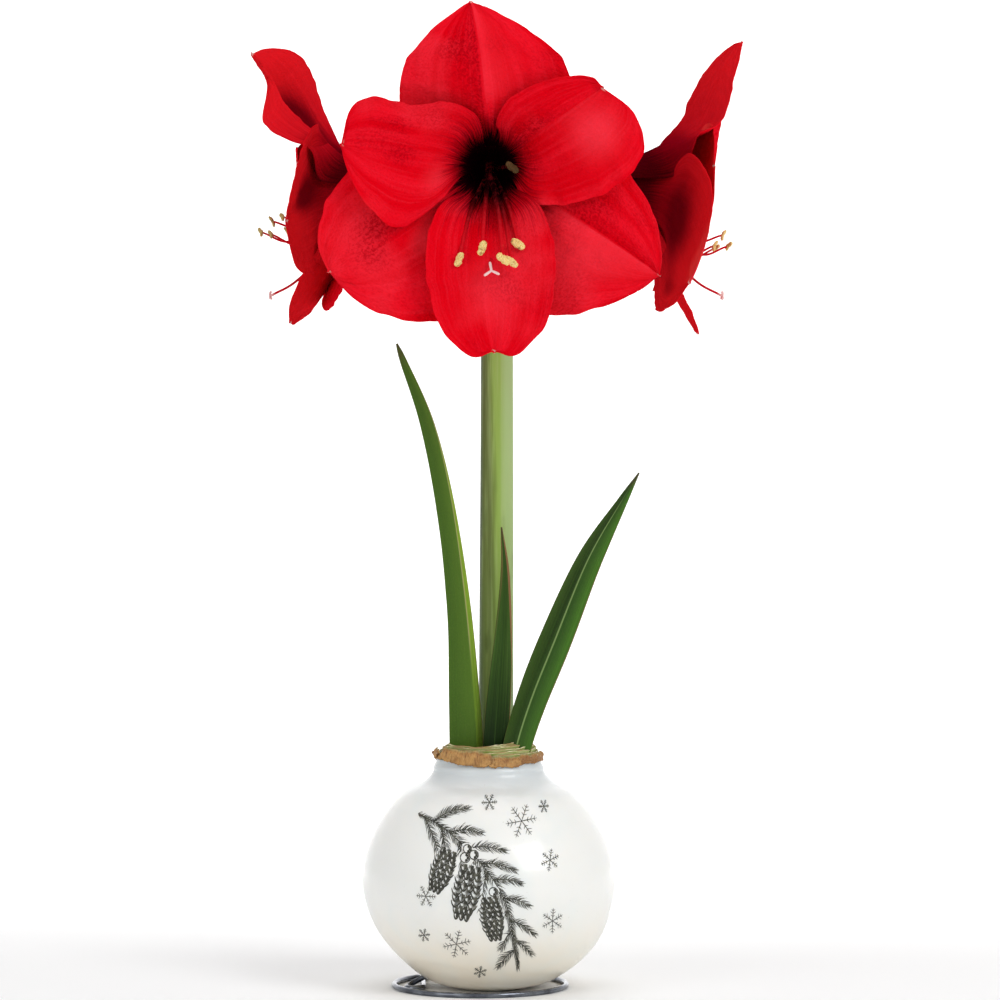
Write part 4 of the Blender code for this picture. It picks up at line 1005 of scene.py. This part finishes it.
def stamenShapes(bloom):  # filaments that dip under the mouth and bend up again, their anthers, and the style
    filaments, pollen, size = [], [], bloom["pollen"]
    for number, (right, down, out, tilt) in enumerate(stamens["anthers"]):
        inThroat = number == stamens["inThroat"]
        root = stamens["root"] * pointing(60 * number + 15, 0.0) + np.array([0.0, 0.0, 0.003])
        below = 0.0 if inThroat else -bloom["drop"] + down
        out -= bloom["short"] * out / 0.06
        tip = np.array([right, below, out])
        path = smoothCurve([root, (root[0] + 0.15 * right, root[1] + 0.06 * below, 0.38 * out),
                            (0.65 * right, bloom["sag"] * below, 0.76 * out), tip], 60)
        filaments.append(barShape(path, np.linspace(*stamens["filament"], 60) * size, 12))
        # painted shade: the filament deep in the throat stays dark along its whole length
        filaments[-1]["uv"][:, 0] *= 0.35 if inThroat else 1.0  # it keeps to the dark part of its colours
        lean = pointing(tilt, 0.35)
        t = np.linspace(-1.0, 1.0, 44)
        bend = np.array([0.0, 0.0, 1.0]) - lean * lean[2]
        t = t[:, None]
        line = tip + lean * t * stamens["halfLength"] * size ** 0.5 + bend * 0.0007 * (t * t - 0.3)
        around = circle(32)[None, :]
        ringX, ringY = np.cos(around), np.sin(around)
        lobes = (1.0 + 0.24 * np.cos(2 * around) + 0.22 * softNoise(2.6 * t + 7 * number, 2.1 * ringX, 61)
                 + 0.16 * softNoise(7 * t + number, 3.2 * ringX + 2 * ringY, 62)
                 + 0.1 * softNoise(15 * t, 7 * ringY + number, 63))
        swell = stamens["radius"] * size * (1.0 - np.abs(t) ** 4) ** 0.5 + 0.0001
        anther = barShape(line, swell * lobes, 32, (0.3, 0.2, 0.93))
        # painted shade on the pollen: most on the anther deep in the throat, some on the side blooms' anthers
        anther["shade"][:] = 1.3 if inThroat else bloom["pollenShade"]
        pollen.append(anther)
    dip = bloom["dip"]
    reach = 0.06 - 0.7 * bloom["short"]
    path = smoothCurve([(0.0, -0.0006, 0.003), (0.0, -0.14 * dip, 0.3 * reach),
                        (0.001, -0.8 * dip, 0.75 * reach), (0.0015, -dip, reach)], 80)
    thick, thin = stamens["style"]
    style = [barShape(path, thick + (thin - thick) * ease(np.linspace(0, 1, 80), 0.3, 1.0), 14)]
    for turn in stamens["stigma"]:
        t = np.linspace(0.0, 1.0, 20)[:, None]
        line = path[-1] + pointing(turn, 0.25) * stamens["lobeLength"] * size * t - [0.0, 0.0, 0.001] * t * t
        radii = stamens["lobeRadius"] * (1 - t ** 6) ** 0.5 * (0.8 + 0.4 * t) + 0.00008
        lobe = barShape(line, radii, 14, (0.1, 0.2, 0.97))
        lobe["uv"][:, 0] = 1.0
        style.append(lobe)
    return filaments, pollen, style


petalLooks = {
    "front": ((0.7, 0.0008, 0.007), (0.8, 0.006, 0.018)), "rear": ((0.45, 0.003, 0.009), (0.6, 0.008, 0.016)),
    "frontLayers": [("veins", 0.45, 0.75, 0.0, 0.22, (0.9, 0.03, 0.055)),
                    ("glow", 0.5, 0.7, 0.0, 0.55, (0.86, 0.026, 0.046)),
                    ("crinkle", 0.54, 0.36, 0.0, 0.3, (0.56, 0.0, 0.004)),
                    ("shade", 0.0, -1.0, 0.0, 0.7, (0.92, 0.04, 0.065))],
    "rearLayers": [("u", 0.35, 0.9, 0.0, 0.8, (0.74, 0.01, 0.016)),
                   ("shade", 0.0, -1.0, 0.0, 0.8, (0.86, 0.045, 0.045)),
                   ("shade", 0.05, 1.0, 0.0, 0.88, (0.085, 0.0, 0.004))],
    "deep": (0.34, 0.0, 0.004), "halo": (0.24, 0.0, 0.006), "throat": (0.014, 0.0, 0.002),
    "tip": (0.8, 0.42, 0.38), "spray": 0.085,
}


def petalFinish():  # veined red, deeper in patches, with a dark throat that feathers out along the veins
    petal = Finish("petal", Roughness=0.55, Specular_IOR_Level=0.0, Subsurface_Weight=0.1,
                   Subsurface_Radius=(1.0, 0.1, 0.08), Subsurface_Scale=0.0015)
    surface = petal.uv()
    u, v = petal.axis(surface, 0), petal.axis(surface, 1)
    back, shade = petal.mark("side"), petal.mark("shade")  # back is 1 on the side away from the mouth
    veins = petal.noise(petal.grain(3.0, 60.0), 1.0, 3.0, 0.55, 0.3)
    fringe = petal.noise(petal.grain(5.0, 95.0), 1.0, 3.0, 0.6, 0.3)
    bands = petal.noise(petal.grain(1.6, 9.0), 1.0, 2.0, 0.5, 0.4)
    crinkle = petal.noise(petal.grain(96.0, 60.0), 1.0, 3.0, 0.6, 0.4)
    patch = petal.noise(petal.place(), 42.0, 2.0, 0.5)
    sources = {"veins": veins, "crinkle": crinkle, "shade": shade, "u": u,
               "glow": petal.noise(petal.place(move=(0.31, 0.12, 0.23)), 30.0, 2.0, 0.5)}
    front = petal.mix(petal.band(bands, 0.36, 0.7), *petalLooks["front"])
    front = petal.layers(front, sources, petalLooks["frontLayers"])
    # deeper red in random mottles, and wherever the shade marks paint shade
    deep = petal.sum("ADD", petal.band(patch, 0.5, 0.7, 0.0, 0.45), petal.band(shade, 0.05, 1.0))
    deep = petal.product(deep, petal.band(crinkle, 0.62, 0.38, 0.25, 1.0), 0.75)
    rear = petal.mix(petal.band(veins, 0.35, 0.65), *petalLooks["rear"])
    rear = petal.layers(rear, sources, petalLooks["rearLayers"])

    spray = petal.band(fringe, 0.25, 0.75, -petalLooks["spray"], petalLooks["spray"])
    feather = petal.sum("ADD", u, petal.product(spray, petal.band(back, 0.0, 1.0, 1.0, 0.35)))
    halo = petal.product(petal.band(feather, 0.52, 0.36), petal.band(back, 0.0, 1.0, 0.7, 0.5))
    throat = petal.product(petal.band(feather, 0.42, 0.27), petal.band(back, 0.0, 1.0, 1.0, 0.85))
    off = petal.sum("ABSOLUTE", petal.sum("SUBTRACT", v, 0.5), 0.0)
    tip = petal.product(petal.band(u, 0.985, 0.993), petal.band(off, 0.2, 0.08))
    tone = petal.mix(back, petal.mix(deep, front, petalLooks["deep"]), rear)
    tone = petal.covered(tone, (halo, petalLooks["halo"]), (throat, petalLooks["throat"]),
                         (tip, petalLooks["tip"]))
    petal.set(Base_Color=tone, Normal=petal.relief(crinkle, 0.0005, 0.65, petal.relief(veins, 0.0005, 0.1)))
    return petal.material


def makeBlooms():
    petal = petalFinish()
    thread = Finish("filaments", Roughness=0.4, Specular_IOR_Level=0.04)
    fleck = thread.noise(thread.place(), 600.0, 2.0)
    tone = thread.mix(thread.band(thread.axis(thread.uv(), 0), 0.54, 0.9), stamens["dark"], stamens["thread"])
    thread.set(Base_Color=thread.mix(thread.band(fleck, 0.45, 0.7, 0.0, 0.2), tone, stamens["fleck"]))
    pistil = Finish("style", Roughness=0.42, Specular_IOR_Level=0.06)
    length = pistil.axis(pistil.uv(), 0)
    tone = pistil.mix(pistil.band(length, 0.54, 0.9), stamens["dark"], stamens["styleRed"])
    pistil.set(Base_Color=pistil.mix(pistil.band(length, 0.955, 1.0), tone, stamens["stigmaPale"]),
               Normal=pistil.relief(pistil.noise(pistil.place(), 900.0, 3.0), 0.0002, 0.6))
    dust = Finish("pollen", Roughness=0.75, Specular_IOR_Level=0.2, Subsurface_Weight=0.1,
                  Subsurface_Scale=0.001)
    grains = dust.noise(dust.place(), 2200.0, 3.0, 0.7)
    lump = dust.band(dust.noise(dust.place(), 520.0, 2.0), 0.56, 0.7, 0.0, 0.75)
    tone = dust.covered(dust.mix(dust.band(grains, 0.35, 0.65), *stamens["dust"]), (lump, stamens["lump"]),
                        (dust.band(dust.mark("shade"), 0.0, 1.3, 0.0, 0.97), stamens["pollenShade"]))
    dust.set(Base_Color=tone, Normal=dust.relief(grains, 0.0004, 0.9))
    for order, (name, bloom) in enumerate(blooms.items()):
        axes = axesAlong(bloom["axis"])
        tepals = [tepalShape({**tepal, "calm": bloom["calm"]}, 1 + number + 6 * order)
                  for number, tepal in enumerate(bloom["tepals"])]
        shape = placed(joined(tepals + [tubeShape()]), bloom["foot"], axes)
        shape["points"] = np.clip(shape["points"], np.array(cadBox[0]), np.array(cadBox[1]))
        makePiece(name, shape, petal, [bloom["node"]], 75)
        finishes = (("Filaments", thread, 50), ("Anthers", dust, 80), ("Style", pistil, 50))
        for shapes, (part, finish, sharp) in zip(stamenShapes(bloom), finishes):
            shape = placed(joined(shapes), bloom["foot"], axes)
            makePiece(name + part, shape, finish.material, (), sharp)


makeBlooms()


# Stalk: a scape with faint ridges, and for each bloom a pedicel and a three-sided ovary
# green runs from painted shade at the picture's left to painted light at the right; shaded and rim are
# painted shade on the left side and at its edge
stalk = {"x": 0.0034, "y": 0.008, "radius": 0.0065, "foot": 0.0783, "top": 0.312, "pedicel": 0.003,
         "ovaryLength": 0.012, "ovaryRadius": 0.0043, "gap": 0.0003,
         "green": ((0.27, 0.4, 0.08), (0.36, 0.485, 0.2)), "shaded": (0.105, 0.13, 0.028),
         "rim": (0.035, 0.055, 0.02), "streak": (0.4, 0.5, 0.2), "low": (0.17, 0.26, 0.05),
         "blot": (0.075, 0.11, 0.02)}


def makeStalk():
    stem = Finish("stem", Roughness=0.42, Specular_IOR_Level=0.2, Subsurface_Weight=0.1,
                  Subsurface_Radius=(0.5, 0.9, 0.2), Subsurface_Scale=0.002)
    streak = stem.noise(stem.place((1.0, 1.0, 0.035)), 620.0, 3.0, 0.55)
    blot = stem.noise(stem.place((1.0, 1.0, 0.22)), 190.0, 3.0, 0.5)
    height = stem.axis(stem.place(), 2)
    left = stem.axis(stem.place(move=(-stalk["x"], 0.0, 0.0)), 0)
    edge = stem.sum("ADD", left, stem.band(streak, 0.3, 0.7, -0.0005, 0.0005))
    edge = stem.sum("SUBTRACT", edge, stem.band(height, 0.27, 0.19, 0.0, 0.002))
    upright = stem.band(height, 0.31, 0.302)  # the arms at the top have no shaded side and no streaks
    # painted light and shade across the scape: paler to the right, darker to the left, with a painted shaded
    # side and a dark painted rim at the left edge
    tone = stem.covered(
        stem.mix(stem.band(left, 0.0004, 0.004), *stalk["green"]),
        (stem.product(upright, stem.band(edge, -0.0016, -0.0048)), stalk["shaded"]),
        (stem.product(upright, stem.band(left, -0.0054, -0.0064)), stalk["rim"]),
        (stem.product(upright, stem.band(streak, 0.42, 0.72, 0.0, 0.35)), stalk["streak"]),
        (stem.band(height, 0.11, 0.24, 0.45, 0.0), stalk["low"]),
        (stem.product(stem.band(blot, 0.52, 0.7), stem.band(height, 0.15, 0.22, 0.65, 0.0)), stalk["blot"]))
    stem.set(Base_Color=tone, Normal=stem.relief(streak, 0.0003, 0.4))

    rows, sides = 150, 96
    share = np.linspace(0.0, 1.0, rows)
    angle = circle(sides)
    path = np.stack([stalk["x"] - 0.0004 * ease(-share, -0.7, 0.0), np.full(rows, stalk["y"]),
                     stalk["foot"] + (stalk["top"] - stalk["foot"]) * share], axis=1)
    ridges = 0.01 * np.cos(2 * angle + 0.5) + 0.006 * softNoise(4 * np.cos(angle), 4 * np.sin(angle), 71)
    radii = stalk["radius"] * (0.97 + 0.09 * ease(-share, -1.0, 0.0))[:, None] * (1.0 + ridges)[None, :]
    radii[-4:] *= np.array([0.99, 0.95, 0.86, 0.66])[:, None]
    shapes = [barShape(path, radii, sides, (0.0, 1.0, 0.0))]
    crown = np.array([stalk["x"], stalk["y"], stalk["top"] - 0.004])
    for bloom in blooms.values():
        outward = unit(np.array(bloom["axis"]))
        seat = np.array(bloom["foot"]) - outward * (bloomDetail["seat"] + stalk["gap"])
        back = seat - outward * stalk["ovaryLength"]
        rise = crown * 0.55 + back * 0.45 + np.array([0, 0, 0.003])
        path = smoothCurve([crown, rise, back, back + outward * 0.003], 50)
        guide = unit(np.cross(outward, [0.0, 0.0, 1.0]))
        t = np.linspace(0.0, 1.0, 50)
        shapes.append(barShape(path, stalk["pedicel"] * (1.0 + 0.12 * ease(-t, -0.35, 0.0)), 40, guide))
        swell = np.interp(t, [0.0, 0.18, 0.45, 0.75, 1.0], [0.62, 0.9, 1.0, 0.98, 0.9]) * stalk["ovaryRadius"]
        lobes = 1.0 + 0.07 * np.cos(3 * circle(48))[None, :]
        length = back + outward * (stalk["ovaryLength"] * t)[:, None]
        shapes.append(barShape(length, swell[:, None] * lobes, 48, guide))
    makePiece("flowerStalk", joined(shapes), stem.material, ["flower_stalk"])


makeStalk()


# Bracts: two withered papery sheaths that hang from the top of the scape, behind the front bloom
bract = {"funnel": 6, "flare": 44, "opens": 0.003, "open": 0.031, "curl": 12, "root": 0.0074, "share": 1.0,
         "relax": (0.1, 0.6), "cup": 60.0, "length": 0.034, "half": 0.005, "close": 0.7, "wave": 0.0009,
         "phase": 0.2}
bractLooks = {"turns": {"spatheLeft": ("spathe_left", 305), "spatheRight": ("spathe_right", 55)},
              "below": 0.009, "husk": ((0.24, 0.14, 0.06), (0.56, 0.42, 0.22)), "stain": (0.35, 0.36, 0.14)}


def makeBracts():
    husk = Finish("dryBract", Roughness=0.6, Subsurface_Weight=0.15, Subsurface_Radius=(0.8, 0.6, 0.3),
                  Subsurface_Scale=0.001)
    fibre = husk.noise(husk.grain(2.0, 26.0), 1.0, 3.0, 0.6)
    stain = husk.noise(husk.place(), 160.0, 3.0)
    tone = husk.mix(husk.band(fibre, 0.3, 0.7), *bractLooks["husk"])
    husk.set(Base_Color=husk.mix(husk.band(stain, 0.45, 0.7, 0.0, 0.6), tone, bractLooks["stain"]),
             Normal=husk.relief(fibre, 0.0005, 0.6))
    axes = axesAlong([0.001, 0.0, -1.0])
    foot = (stalk["x"], stalk["y"], stalk["top"] - bractLooks["below"])
    for name, (node, turn) in bractLooks["turns"].items():
        shape = tepalShape({**bract, "azimuth": turn}, 20 + turn)
        makePiece(name, placed(shape, foot, axes), husk.material, [node])


makeBracts()
